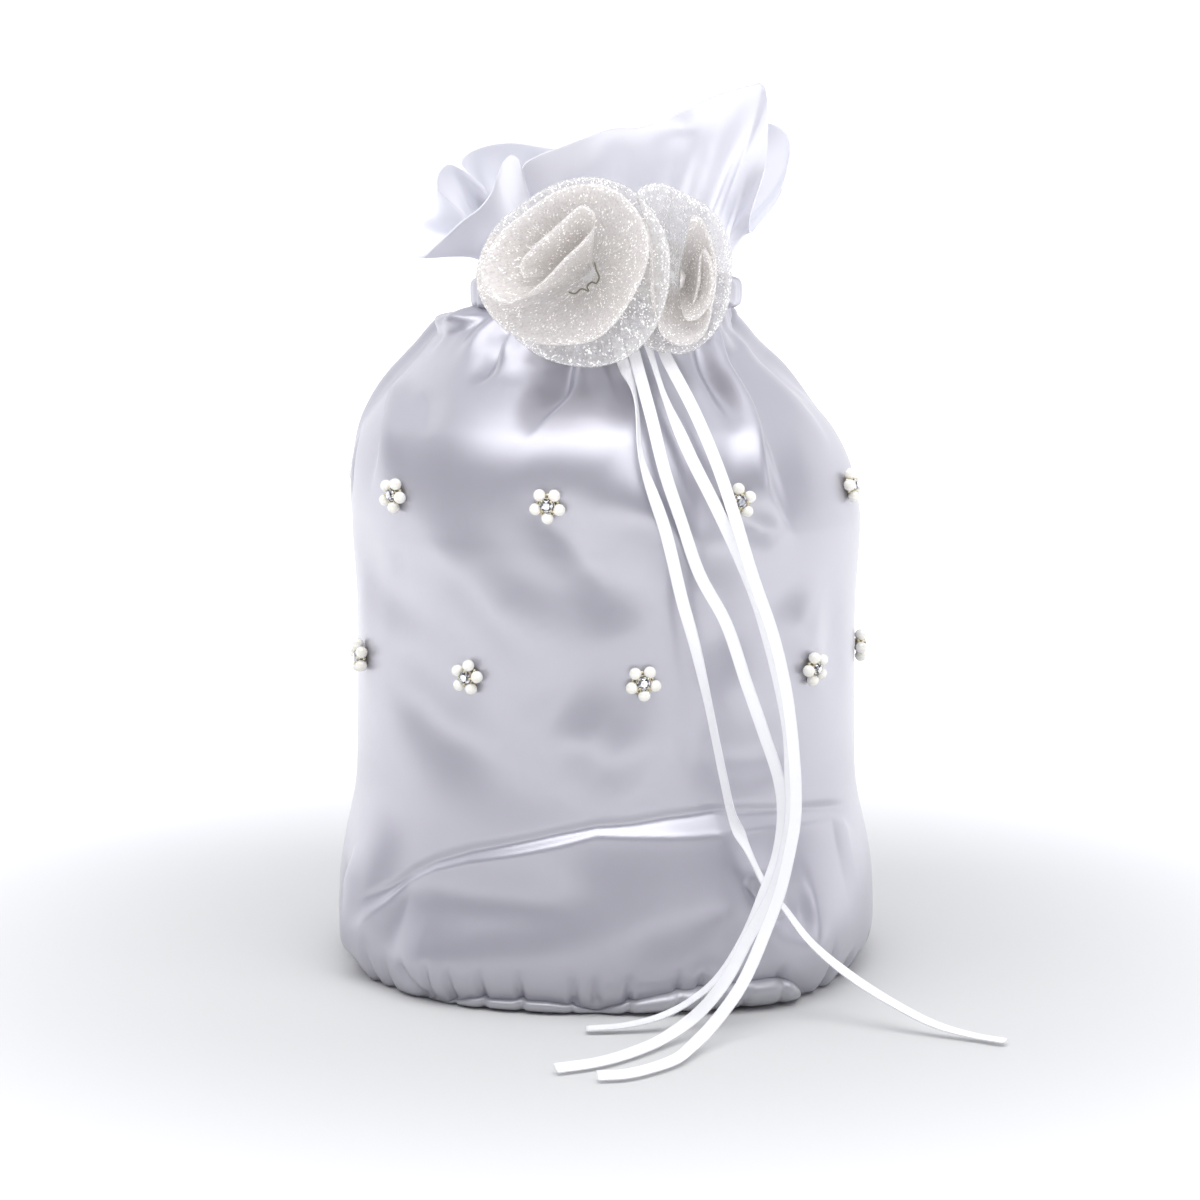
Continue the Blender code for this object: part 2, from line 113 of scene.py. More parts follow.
# Bag outline from the base seam to the channel's top: height and mean radius.
PROFILE = (
    (1.5, 58.6), (4.0, 60.4), (8.0, 61.6), (16.0, 61.8), (28.0, 61.0), (40.0, 59.8), (60.0, 59.2),
    (85.0, 59.0), (103.0, 60.0), (113.0, 59.6), (120.0, 58.0), (126.0, 55.2), (131.0, 51.4),
    (137.0, 45.6), (142.0, 40.2), (147.0, 35.8), (150.4, 32.4), (152.4, 30.4), (153.4, 29.6),
    (154.6, 31.2), (157.2, 31.5), (159.6, 31.2), (160.6, 28.8), (161.6, 28.0),
)
CHANNEL_STITCH_LOW = 153.4
CHANNEL_STITCH_HIGH = 160.6
NECK_RADIUS = 27.8
FRILL_FOOT = 161.4

ROSE_STRIP_WIDTH = 0.036

# World light: strength at the horizon and overhead, and the heights of view between which it rises.
SKY_LOW = 0.08
SKY_HIGH = 1.05
SKY_RISE = (0.25, 0.85)

# Studio: half the floor's side, how far it lies under the base, and the round wall's size, in metres.
FLOOR_HALF = 3.0
FLOOR_DROP = -0.0002
WALL_RADIUS = 2.6
WALL_HEIGHT = 2.4
WALL_SIDES = 64

BAG_AROUND = 620
BAG_RISE = 250


def smooth(x, low, high):
    t = np.clip((np.asarray(x, float) - low) / (high - low), 0.0, 1.0)
    return t * t * (3 - 2 * t)


def spline(points, count):
    """Even steps of length along a centripetal Catmull-Rom curve; extra columns ride along."""
    pts = np.array(points, float)
    ends = np.vstack([2 * pts[0] - pts[1], pts, 2 * pts[-1] - pts[-2]])
    dense = []
    for a, b, c, d in zip(ends, ends[1:], ends[2:], ends[3:]):
        t1 = np.linalg.norm((b - a)[:3]) ** 0.5 + 1e-9
        t2 = t1 + np.linalg.norm((c - b)[:3]) ** 0.5 + 1e-9
        t3 = t2 + np.linalg.norm((d - c)[:3]) ** 0.5 + 1e-9
        for t in np.linspace(t1, t2, 16, endpoint=False):
            ab = a + (b - a) * t / t1
            bc = b + (c - b) * (t - t1) / (t2 - t1)
            cd = c + (d - c) * (t - t2) / (t3 - t2)
            abc = ab + (bc - ab) * t / t2
            bcd = bc + (cd - bc) * (t - t1) / (t3 - t1)
            dense.append(abc + (bcd - abc) * (t - t1) / (t2 - t1))
    dense.append(pts[-1])
    dense = np.array(dense)
    length = np.concatenate([[0.0], np.cumsum(np.linalg.norm(np.diff(dense[:, :3], axis=0), axis=1))])
    at = np.linspace(0.0, length[-1], count)
    return np.stack([np.interp(at, length, dense[:, k]) for k in range(dense.shape[1])], axis=1)


def unit(v):
    return v / np.maximum(np.linalg.norm(v, axis=-1, keepdims=True), 1e-12)


def mesh_object(name, verts, faces, mat, body="pouch", uv=None):
    data = bpy.data.meshes.new(name)
    data.from_pydata(np.asarray(verts, float).tolist(), [], faces)
    data.shade_smooth()
    if uv is not None:
        layer = data.uv_layers.new(name="cloth")
        loops = np.zeros(len(data.loops), dtype=np.int32)
        data.loops.foreach_get("vertex_index", loops)
        layer.data.foreach_set("uv", np.asarray(uv, np.float32)[loops].ravel())
    made = bpy.data.objects.new(name, data)
    SCENE.collection.objects.link(made)
    for one in mat if isinstance(mat, (list, tuple)) else [mat]:
        data.materials.append(one)
    if body:
        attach(made, body)
    return made


def grid_faces(rows, columns, closed=False, flip=False):
    faces = []
    last = columns if closed else columns - 1
    for row in range(rows - 1):
        for column in range(last):
            after = (column + 1) % columns
            a, b = row * columns + column, row * columns + after
            face = (a, b, b + columns, a + columns)
            faces.append(face[::-1] if flip else face)
    return faces


# ---------------------------------------------------------------- materials

class Nodes:
    """A material's node tree with short calls to add and join nodes."""

    def __init__(self, name):
        self.made = bpy.data.materials.new(name)
        self.made.use_nodes = True
        self.tree = self.made.node_tree
        self.shader = self.tree.nodes["Principled BSDF"]

    def add(self, kind, inputs=None, **settings):
        node = self.tree.nodes.new(kind)
        for key, value in settings.items():
            setattr(node, key, value)
        for key, value in (inputs or {}).items():
            if isinstance(value, bpy.types.NodeSocket):
                self.tree.links.new(value, node.inputs[key])
            else:
                node.inputs[key].default_value = value
        return node

    def set(self, **values):
        names = {"base": "Base Color", "rough": "Roughness", "metal": "Metallic", "ior": "IOR",
                 "sheen": "Sheen Weight", "sheen_rough": "Sheen Roughness", "coat": "Coat Weight",
                 "coat_rough": "Coat Roughness", "alpha": "Alpha", "normal": "Normal",
                 "specular": "Specular IOR Level", "transmission": "Transmission Weight",
                 "subsurface": "Subsurface Weight", "anisotropic": "Anisotropic"}
        for key, value in values.items():
            socket = self.shader.inputs[names[key]]
            if isinstance(value, bpy.types.NodeSocket):
                self.tree.links.new(value, socket)
            else:
                socket.default_value = (*value, 1.0) if key == "base" else value
        return self.made

    def calc(self, operation, *values):
        return self.add("ShaderNodeMath", dict(enumerate(values)), operation=operation).outputs[0]

    def span(self, value, start=0.0, end=1.0, low=0.0, high=1.0):
        """A value carried from one range to another."""
        return self.add("ShaderNodeMapRange", {"Value": value, "From Min": start, "From Max": end,
                                               "To Min": low, "To Max": high}).outputs[0]

    def split(self, vector, axis):
        return self.add("ShaderNodeSeparateXYZ", {"Vector": vector}).outputs[axis]

    def place(self, scale, uv=False):
        """Coordinates times a scale: the cloth's own map, or the object's place."""
        source = self.add("ShaderNodeTexCoord").outputs["UV" if uv else "Object"]
        return self.add("ShaderNodeMapping", {"Vector": source, "Scale": scale}).outputs["Vector"]

    def ramp(self, factor, stops):
        node = self.add("ShaderNodeValToRGB", {"Fac": factor})
        for index, (at, color) in enumerate(stops):
            stop = node.color_ramp.elements[index] if index < 2 else node.color_ramp.elements.new(at)
            stop.position = at
            stop.color = (*color, 1.0)
        return node.outputs["Color"]

    def noise(self, vector, scale=1.0, detail=2.0, rough=0.5):
        return self.add("ShaderNodeTexNoise", {"Vector": vector, "Scale": scale, "Detail": detail,
                                               "Roughness": rough}).outputs["Fac"]

    def bump(self, height, distance, strength=1.0, normal=None):
        inputs = {"Height": height, "Distance": distance, "Strength": strength}
        if normal:
            inputs["Normal"] = normal
        return self.add("ShaderNodeBump", inputs).outputs["Normal"]


def satin_material(name, tint, rough=0.36, metal=0.5):
    """Warp-faced satin: fine lengthwise floats, crossed by a weaker weft, with slow tone changes."""
    n = Nodes(name)
    floats = n.noise(n.place((5200.0, 420.0, 1.0), uv=True), detail=2.0)
    weft = n.noise(n.place((300.0, 3600.0, 1.0), uv=True), detail=1.0)
    slow = n.noise(n.place((34.0, 34.0, 34.0)), detail=3.0)
    base = n.ramp(slow, ((0.3, [c * 0.985 for c in tint]), (0.7, [min(c * 1.012, 1.0) for c in tint])))
    fine = n.calc("ADD", floats, weft)
    glossy = n.span(floats, 0.25, 0.75, rough - 0.05, rough + 0.07)
    return n.set(base=base, rough=glossy, metal=metal, specular=0.5, sheen=0.1, sheen_rough=0.35,
                 normal=n.bump(fine, 0.00002, 0.22))


def ribbon_material():
    """Double satin ribbon: cross ribs, and a tighter woven edge on each side."""
    n = Nodes("ribbon_satin")
    ribs = n.add("ShaderNodeTexWave", {"Vector": n.place((0.0, 1.0, 0.0), uv=True), "Scale": 620.0,
                                       "Distortion": 0.6}, bands_direction="Y").outputs["Fac"]
    across = n.split(n.place((1.0, 1.0, 1.0), uv=True), "X")
    edge = n.span(n.calc("ABSOLUTE", across), 0.00118, 0.00132)
    tone = n.ramp(n.calc("MULTIPLY", ribs, edge), ((0.0, (0.97, 0.97, 0.985)), (1.0, (0.80, 0.80, 0.84))))
    soft = n.bump(ribs, 0.00004, 0.35)
    return n.set(base=tone, rough=0.33, specular=0.6, sheen=0.15, sheen_rough=0.3,
                 normal=n.bump(edge, 0.0001, 0.6, soft))


def organza_material(name, tint, alpha, glitter=0.17):
    """Sheer organza with a glitter thread: bright flecks over a fine open weave, closest at the fold."""
    n = Nodes(name)
    across = n.split(n.place((1.0, 1.0, 1.0), uv=True), "Y")
    off_fold = n.calc("ABSOLUTE", n.calc("SUBTRACT", across, ROSE_STRIP_WIDTH / 2))
    fold = n.span(off_fold, 0.0004, 0.0026, 1.0, 0.0)
    weave = n.noise(n.place((2600.0, 2600.0, 1.0), uv=True), detail=2.0)
    slow = n.noise(n.place((90.0, 90.0, 90.0)), detail=2.0)
    cells = n.add("ShaderNodeTexVoronoi", {"Vector": n.place((2100.0, 2500.0, 1.0), uv=True), "Scale": 1.0,
                                           "Randomness": 0.9}, feature="F1")
    level = n.add("ShaderNodeSeparateColor", {"Color": cells.outputs["Color"]}).outputs[0]
    second = n.add("ShaderNodeSeparateColor", {"Color": cells.outputs["Color"]}).outputs[1]
    patch = n.noise(n.place((300.0, 460.0, 1.0), uv=True), detail=3.0)
    swing = n.calc("MULTIPLY", n.calc("ADD", patch, -0.5), 0.5)
    mixed = n.calc("ADD", n.calc("ADD", level, swing), n.calc("MULTIPLY", fold, 0.15))
    fleck = n.span(mixed, 1.06 - glitter, 1.14 - glitter)
    hole = n.span(second, 0.10, 0.42, 0.78, 1.0)
    body = n.ramp(slow, ((0.3, [c * 0.95 for c in tint]), (0.7, tint)))
    threads = n.add("ShaderNodeMix", {"Factor": weave, "A": (*[c * 0.86 for c in tint], 1.0), "B": body},
                    data_type="RGBA").outputs["Result"]
    # Painted shade: the colour falls to 0.8 away from the folded edge towards the gathered root, where the
    # petals nest in each other's shadow; the darker weave holes are multiplied in as well.
    holes_and_painted_root_shade = n.calc("MULTIPLY", hole, n.span(off_fold, 0.001, 0.013, 1.0, 0.80))
    shaded = n.add("ShaderNodeVectorMath", {0: threads, "Scale": holes_and_painted_root_shade}, operation="SCALE")
    spark = (1.0, 0.99, 0.97, 1.0)
    base = n.add("ShaderNodeMix", {"Factor": fleck, "A": shaded.outputs["Vector"], "B": spark},
                 data_type="RGBA").outputs["Result"]
    rough = n.span(fleck, low=0.5, high=0.2)
    dense = n.calc("MAXIMUM", fleck, n.calc("MULTIPLY", fold, 0.3))
    seen = n.span(dense, low=alpha)
    # Painted glow: the organza emits its own tint faintly all over and more at the glitter flecks, which
    # brightens it where no lamp shines.
    painted_glow = n.span(fleck, low=0.05, high=0.20)
    n.shader.inputs["Emission Color"].default_value = (*tint, 1.0)
    n.tree.links.new(painted_glow, n.shader.inputs["Emission Strength"])
    tilted = n.bump(level, 0.0002, 0.7, n.bump(weave, 0.00005, 0.6))
    return n.set(base=base, rough=rough, alpha=seen, sheen=0.25, sheen_rough=0.4, specular=0.6, normal=tilted)


def pearl_material():
    n = Nodes("pearl_nacre")
    slow = n.noise(n.place((500.0, 500.0, 500.0)), detail=2.0)
    base = n.ramp(slow, ((0.35, (0.93, 0.90, 0.80)), (0.65, (0.98, 0.97, 0.92))))
    return n.set(base=base, rough=0.16, coat=0.6, coat_rough=0.06, specular=0.7,
                 normal=n.bump(slow, 0.00002, 0.4))


def metal_material():
    n = Nodes("cup_metal")
    wear = n.noise(n.place((1500.0, 1500.0, 1500.0)), detail=3.0)
    base = n.ramp(wear, ((0.3, (0.62, 0.54, 0.36)), (0.7, (0.86, 0.80, 0.62))))
    rough = n.span(wear, low=0.16, high=0.4)
    return n.set(base=base, rough=rough, metal=1.0)


# Stone colour between a dark and a light tone over a fine noise; on the near-white copy it is a painted
# reflection, facets coloured as if mirroring the lamps.
def stone_material(name, dark, light):
    n = Nodes(name)
    inner = n.noise(n.place((2200.0, 2200.0, 2200.0)), detail=1.0)
    return n.set(base=n.ramp(inner, ((0.42, dark), (0.6, light))), rough=0.05, metal=0.55, coat=1.0,
                 coat_rough=0.02)


def thread_material(name, tint):
    n = Nodes(name)
    twist = n.noise(n.place((6000.0, 6000.0, 2500.0)), detail=1.0)
    base = n.ramp(twist, ((0.3, [c * 0.8 for c in tint]), (0.7, tint)))
    return n.set(base=base, rough=0.55, sheen=0.2, normal=n.bump(twist, 0.00004, 0.6))


def board_material():
    n = Nodes("base_board")
    pulp = n.noise(n.place((900.0, 900.0, 900.0)), detail=4.0)
    return n.set(base=n.ramp(pulp, ((0.3, (0.50, 0.46, 0.38)), (0.7, (0.66, 0.62, 0.54)))), rough=0.85,
                 normal=n.bump(pulp, 0.0001, 0.4))


def felt_material():
    n = Nodes("rose_felt")
    fibre = n.noise(n.place((2500.0, 2500.0, 2500.0)), detail=4.0, rough=0.7)
    return n.set(base=n.ramp(fibre, ((0.3, (0.70, 0.69, 0.68)), (0.7, (0.82, 0.81, 0.80)))), rough=0.95,
                 sheen=0.4, normal=n.bump(fibre, 0.0003, 0.7))


SATIN = satin_material("bag_satin", (0.51, 0.505, 0.555), 0.35, 0.6)
# The frill is the bag's own satin; this copy is painted lighter than the bag's, painted light for the top of
# the bag that catches the softbox.
FRILL_SATIN_PAINTED_LIGHTER = satin_material("frill_satin_painted_lighter", (0.84, 0.84, 0.90), 0.35, 0.35)
# The base is the bag's own satin; this copy is painted darker, painted shade for the rolled edge low under
# the bag.
BASE_SATIN_PAINTED_DARKER = satin_material("base_satin_painted_darker", (0.48, 0.48, 0.51), 0.40)
LINING = satin_material("lining_cloth", (0.66, 0.66, 0.69), 0.6)
RIBBON = ribbon_material()
ORGANZA = organza_material("rose_organza", (0.95, 0.905, 0.875), 0.62)
ORGANZA_SHEER = organza_material("rose_organza_sheer", (0.94, 0.92, 0.915), 0.40, 0.20)
PEARL = pearl_material()
METAL = metal_material()
STONE_DARK = stone_material("stone_dark", (0.05, 0.05, 0.055), (0.30, 0.30, 0.32))
# Near-white stone colour for some facets: painted reflections.
STONE_PAINTED_BRIGHT_FACETS = stone_material("stone_painted_bright_facets", (0.55, 0.56, 0.60), (0.95, 0.95, 0.98))
STITCH = thread_material("stitch_thread", (0.78, 0.78, 0.82))
ROSE_THREAD = thread_material("rose_thread", (0.20, 0.18, 0.12))
BOARD = board_material()
FELT = felt_material()


# ---------------------------------------------------------------- camera and cords

def make_camera():
    data = bpy.data.cameras.new("camera")
    data.lens = CAMERA_LENS
    data.sensor_width = 36.0
    made = bpy.data.objects.new("camera", data)
    made.location = CAMERA_PLACE
    made.rotation_euler = (math.radians(90.0 - CAMERA_ELEVATION), 0.0, 0.0)
    SCENE.collection.objects.link(made)
    SCENE.camera = made


def make_ribbon(name, route, body):
    """A flat woven strip with a slight hollow across it, along a route with chosen facings."""
    rows = [(x, y, z, *face) for x, y, z, face in route]
    line = spline(rows, 190)
    middle = line[:, :3] * MM
    along = unit(np.gradient(middle, axis=0))
    facing = unit(line[:, 3:])
    facing = unit(facing - along * np.sum(facing * along, axis=1, keepdims=True))
    across = np.cross(along, facing)
    steps = np.linspace(-1.0, 1.0, 9)
    ring = [(u, 1.0) for u in steps] + [(u, -1.0) for u in steps[::-1]]
    verts, uv = [], []
    travelled = np.concatenate([[0.0], np.cumsum(np.linalg.norm(np.diff(middle, axis=0), axis=1))])
    for place, side, out, gone in zip(middle, across, facing, travelled):
        for u, face in ring:
            hollow = 0.10 * MM * (u * u - 0.4)
            edge = 1.0 + 0.25 * (abs(u) > 0.8)
            lift = hollow + face * RIBBON_THICKNESS / 2 * edge
            verts.append(place + side * u * RIBBON_WIDTH / 2 + out * lift)
            uv.append((u * RIBBON_WIDTH / 2, gone))
    count = len(ring)
    faces = grid_faces(len(middle), count, closed=True)
    faces.append(tuple(range(count))[::-1])
    faces.append(tuple(range(len(verts) - count, len(verts))))
    made = mesh_object(f"satin_{name}", verts, faces, RIBBON, body, uv)
    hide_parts(name)
    return made


make_camera()
for tail, owner in (("one", "drawstring_one"), ("two", "drawstring_two"), ("three", "drawstring_two"),
                    ("four", "drawstring_one")):
    make_ribbon(f"ribbon_tail_{tail}", TAILS[f"ribbon_tail_{tail}"], owner)


# ---------------------------------------------------------------- satin bag

# Folds and creases: route as (angle from the front, height), height of the fold in mm,
# its width on the left and on the right of the route in mm, and fade at both ends.
FOLDS = (
    (((-80, 140), (-70, 134), (-61, 127), (-58, 120), (-62, 110)), 2.0, 1.6, 7.0, 0.3, 0.45),
    (((-86, 126), (-80, 117), (-80, 108)), -1.6, 2.0, 2.0, 0.3, 0.4),
    (((-52, 153.5), (-60, 151.0), (-68, 149.4), (-80, 148.6), (-96, 150.5)), 3.0, 4.5, 1.4, 0.3, 0.3),
    (((-41, 152), (-39, 146), (-38, 141), (-41, 136)), -3.4, 3.0, 2.2, 0.1, 0.6),
    (((-29, 152), (-33, 145), (-31, 139)), 1.8, 1.5, 6.0, 0.2, 0.5),
    (((-8, 152), (-11, 144), (-11, 138), (-15, 133), (-20, 126)), -3.6, 5.0, 1.1, 0.1, 0.6),
    (((-56, 137), (-49, 131.5), (-43, 126)), -0.9, 2.8, 5.0, 0.4, 0.5),
    (((46, 151), (38.5, 142), (36, 135), (34, 126)), -3.2, 2.6, 3.4, 0.1, 0.45),
    (((56, 152), (49.5, 145), (45.5, 140), (42, 133.5), (39, 127.5), (36.7, 121), (36.5, 114.5),
      (39.5, 108.5), (46, 102)), 2.5, 5.0, 1.5, 0.1, 0.35),
    (((58, 148), (50, 141), (46.5, 134), (44, 125), (43, 117), (45, 107)), -2.2, 2.2, 8.5, 0.15, 0.5),
    (((27, 110), (33, 108), (41, 104)), -0.9, 3.5, 2.5, 0.4, 0.4),
    (((-2, 150), (0.5, 141), (3.6, 135), (6.5, 128)), -1.8, 4.0, 4.0, 0.1, 0.5),
    (((18, 151), (22, 143), (26, 134), (29, 127)), -1.4, 3.0, 4.0, 0.1, 0.5),
    (((72, 149), (68, 141), (66, 131), (68, 120)), 1.4, 5.0, 3.0, 0.2, 0.5),
    (((86, 151), (84, 142), (82, 131)), -1.6, 3.0, 4.0, 0.1, 0.5),
    # soft hollows and swells down the front and sides
    (((-76, 108), (-66, 96), (-50, 90), (-38, 92)), -1.9, 8.0, 9.0, 0.4, 0.4),
    (((-46, 112), (-34, 100), (-20, 84), (-14, 70)), 1.9, 7.0, 9.0, 0.4, 0.4),
    (((-22, 118), (-10, 108), (-2, 98), (4, 84)), -2.1, 6.0, 9.0, 0.4, 0.4),
    (((-2, 120), (8, 112), (17, 104), (22, 92)), 2.1, 6.0, 7.0, 0.4, 0.4),
    (((22, 104), (26, 88), (26, 70)), -1.6, 6.0, 7.0, 0.4, 0.4),
    (((-62, 78), (-46, 66), (-30, 60), (-16, 62)), -1.8, 8.0, 8.0, 0.4, 0.4),
    (((-12, 66), (0, 58), (8, 50)), 1.6, 7.0, 9.0, 0.4, 0.4),
    (((40, 92), (48, 82), (60, 76)), 1.4, 7.0, 8.0, 0.4, 0.4),
    (((14, 62), (30, 56), (50, 58)), -1.4, 6.0, 7.0, 0.4, 0.4),
    (((-50, 16), (-34, 22), (-14, 24), (4, 22)), -2.1, 7.0, 8.0, 0.4, 0.4),
    # lower front: star-shaped pinch, hollows above the base, the fold at the left
    (((33, 22.5), (39, 20.5), (45, 20)), -1.8, 5.5, 7.0, 0.35, 0.4),
    (((28, 30), (31.5, 24), (34.5, 17)), -1.6, 1.2, 1.6, 0.3, 0.3),
    (((31, 31), (34.5, 25), (36.5, 20)), 1.3, 1.6, 1.4, 0.4, 0.3),
    (((41.5, 18), (43, 13), (44.5, 6)), 1.0, 3.4, 4.0, 0.5, 0.4),
    (((2, 8), (12, 12), (24, 15.5), (32, 17)), -1.7, 6.0, 6.0, 0.35, 0.3),
    (((-69, 30), (-66.5, 20), (-65.5, 12), (-65.5, 4)), 1.6, 1.0, 4.5, 0.35, 0.2),
    (((-74, 26), (-72, 14), (-72, 4)), -1.0, 3.0, 2.0, 0.4, 0.2),
    (((-60, 66), (-40, 55), (-18, 51), (4, 54)), -0.7, 9.0, 9.0, 0.4, 0.4),
    (((-74, 100), (-70, 80), (-66, 60)), 0.6, 6.0, 5.0, 0.4, 0.4),
    (((56, 98), (62, 78), (66, 60)), -0.7, 7.0, 6.0, 0.4, 0.4),
    (((-30, 104), (-12, 96), (2, 92), (16, 88)), -0.8, 7.0, 10.0, 0.4, 0.4),
)
# Crease line across the lower front: angle, height, and width of the ledge under it, in mm.
CREASE = ((-64, 16, 9.0), (-52, 22.5, 4.0), (-46, 27.2, 1.6), (-39, 31.0, 1.9), (-30, 34.4, 2.4),
          (-18.7, 37.4, 2.6), (-10, 39.8, 2.6), (-2, 41.6, 1.8), (4.5, 42.0, 2.6), (12.9, 43.2, 4.2),
          (24, 44.0, 5.2), (42, 42.0, 3.0), (58, 39.8, 2.2), (70, 38, 7.0))
# Base seam at the front, where it shows: angle and height in mm.
SEAM = ((-60, 0.9), (-48, 0.9), (-42, 1.4), (-36, 2.8), (-28, 4.2), (-20, 4.2), (-12, 4.2), (-6, 3.4),
        (-2, 2.2), (1, 3.4), (7, 4.8), (13, 5.8), (23, 7.2), (33, 8.0), (37, 7.2), (40, 5.4), (43, 3.2),
        (47, 1.4), (60, 0.9))


def bag_outline():
    line = spline([(z, r, 0.0) for z, r in PROFILE], 400)
    return line[:, 0], line[:, 1]


OUTLINE_Z, OUTLINE_R = bag_outline()
OUTLINE_S = np.concatenate([[0.0], np.cumsum(np.hypot(np.diff(OUTLINE_Z), np.diff(OUTLINE_R)))])


def arc_of(height):
    return np.interp(height, OUTLINE_Z, OUTLINE_S)


def fold_offset(angle, arc, route, height, left, right, fade_in, fade_out):
    """Raises or sinks the cloth along a route on the unrolled bag, more sharply on its narrow side."""
    line = spline([(a, z, 0.0) for a, z in route], 28)
    radius = np.interp(line[:, 1], OUTLINE_Z, OUTLINE_R)
    px = np.radians(line[:, 0]) * radius
    py = arc_of(line[:, 1])
    x = np.radians(angle) * np.interp(arc, OUTLINE_S, OUTLINE_R)
    reach = 3.2 * max(left, right)
    near = (x > px.min() - reach) & (x < px.max() + reach)
    near &= (arc > py.min() - reach) & (arc < py.max() + reach)
    out = np.zeros_like(x)
    qx, qy = x[near], arc[near]
    best = np.full(qx.shape, 1e9)
    side = np.zeros(qx.shape)
    along = np.zeros(qx.shape)
    count = len(px) - 1
    for i in range(count):
        dx, dy = px[i + 1] - px[i], py[i + 1] - py[i]
        size = dx * dx + dy * dy
        t = np.clip(((qx - px[i]) * dx + (qy - py[i]) * dy) / size, 0.0, 1.0)
        ox, oy = qx - px[i] - dx * t, qy - py[i] - dy * t
        gap = ox * ox + oy * oy
        take = gap < best
        best = np.where(take, gap, best)
        side = np.where(take, dx * oy - dy * ox, side)
        along = np.where(take, (i + t) / count, along)
    width = np.where(side < 0.0, left, right)
    fading = smooth(along, 0.0, fade_in) * (1.0 - smooth(along, 1.0 - fade_out, 1.0))
    out[near] = height * np.exp(-best / (width * width)) * fading
    return out


def back_folds():
    """Gathers that run down from the neck round the sides and back, evenly but not equally."""
    folds = []
    rng = np.random.default_rng(5)
    for start in np.arange(98.0, 262.0, 12.5):
        angle = start + rng.uniform(-3, 3)
        drift = rng.uniform(-7, 7)
        foot = rng.uniform(110, 130)
        height = rng.uniform(1.2, 2.6) * (1 if rng.random() < 0.5 else -1)
        route = ((angle, 153), (angle + drift * 0.2, 145), (angle + drift * 0.6, 136), (angle + drift, foot))
        folds.append((route, height, rng.uniform(1.6, 5.0), rng.uniform(1.6, 5.0), 0.1, 0.55))
    hollows = ((118, 30, 44, -1.0), (160, 24, 36, 0.9), (205, 40, 52, -0.9), (236, 22, 34, 1.0))
    for start, low, high, height in hollows:
        route = ((start - 14, low), (start, (low + high) / 2 + 3), (start + 15, high))
        folds.append((route, height, 3.0, 5.0, 0.4, 0.4))
    return folds


def seam_gathers():
    """Small tucks pulled in along the base seam."""
    folds = [(((-45, 9), (-42, 6), (-38.5, 3.4)), -1.7, 1.4, 1.0, 0.3, 0.02)]
    for angle in (-37, -32, -25.4, -17.4, -6.5, -2.1, 4.5, 14.5, 19, 27.5, 35):
        folds.append((((angle + 0.5, 11), (angle, 7), (angle, 3.4)), -1.25, 0.9, 0.9, 0.6, 0.02))
    rng = np.random.default_rng(8)
    for start in np.arange(50.0, 312.0, 5.5):
        angle = start + rng.uniform(-2, 2)
        tall = rng.uniform(6, 13)
        folds.append((((angle + rng.uniform(-1, 1), tall), (angle, tall * 0.5), (angle, 1.2)),
                      -rng.uniform(0.5, 1.2), 1.0, 1.2, 0.6, 0.02))
    return folds


def wrapped(angle):
    return (angle + 180.0) % 360.0 - 180.0


def lower_bulge(angle):
    """How far the foot of the bag stands out beyond its mean radius, in mm."""
    a = np.abs(wrapped(angle))
    front = 3.4 + 3.8 * np.exp(-((a - 42.0) / 17.0) ** 2)
    return front * (1.0 - smooth(a, 55.0, 85.0)) + 0.8 * smooth(a, 55.0, 85.0)


def neck_pleats(angle, height):
    """Fine gathers held by the channel's two stitch lines, in mm."""
    a = np.radians(angle)
    wave = (np.sin(26 * a + 1.3 * np.sin(3 * a)) + 0.6 * np.sin(41 * a + 0.7 + 1.1 * np.sin(2 * a))
            + 0.5 * np.sin(17 * a + 2.0))
    below = smooth(height, 141.0, 153.5) * (1.0 - smooth(height, 153.5, 155.6) * 0.35)
    return 0.42 * wave * below


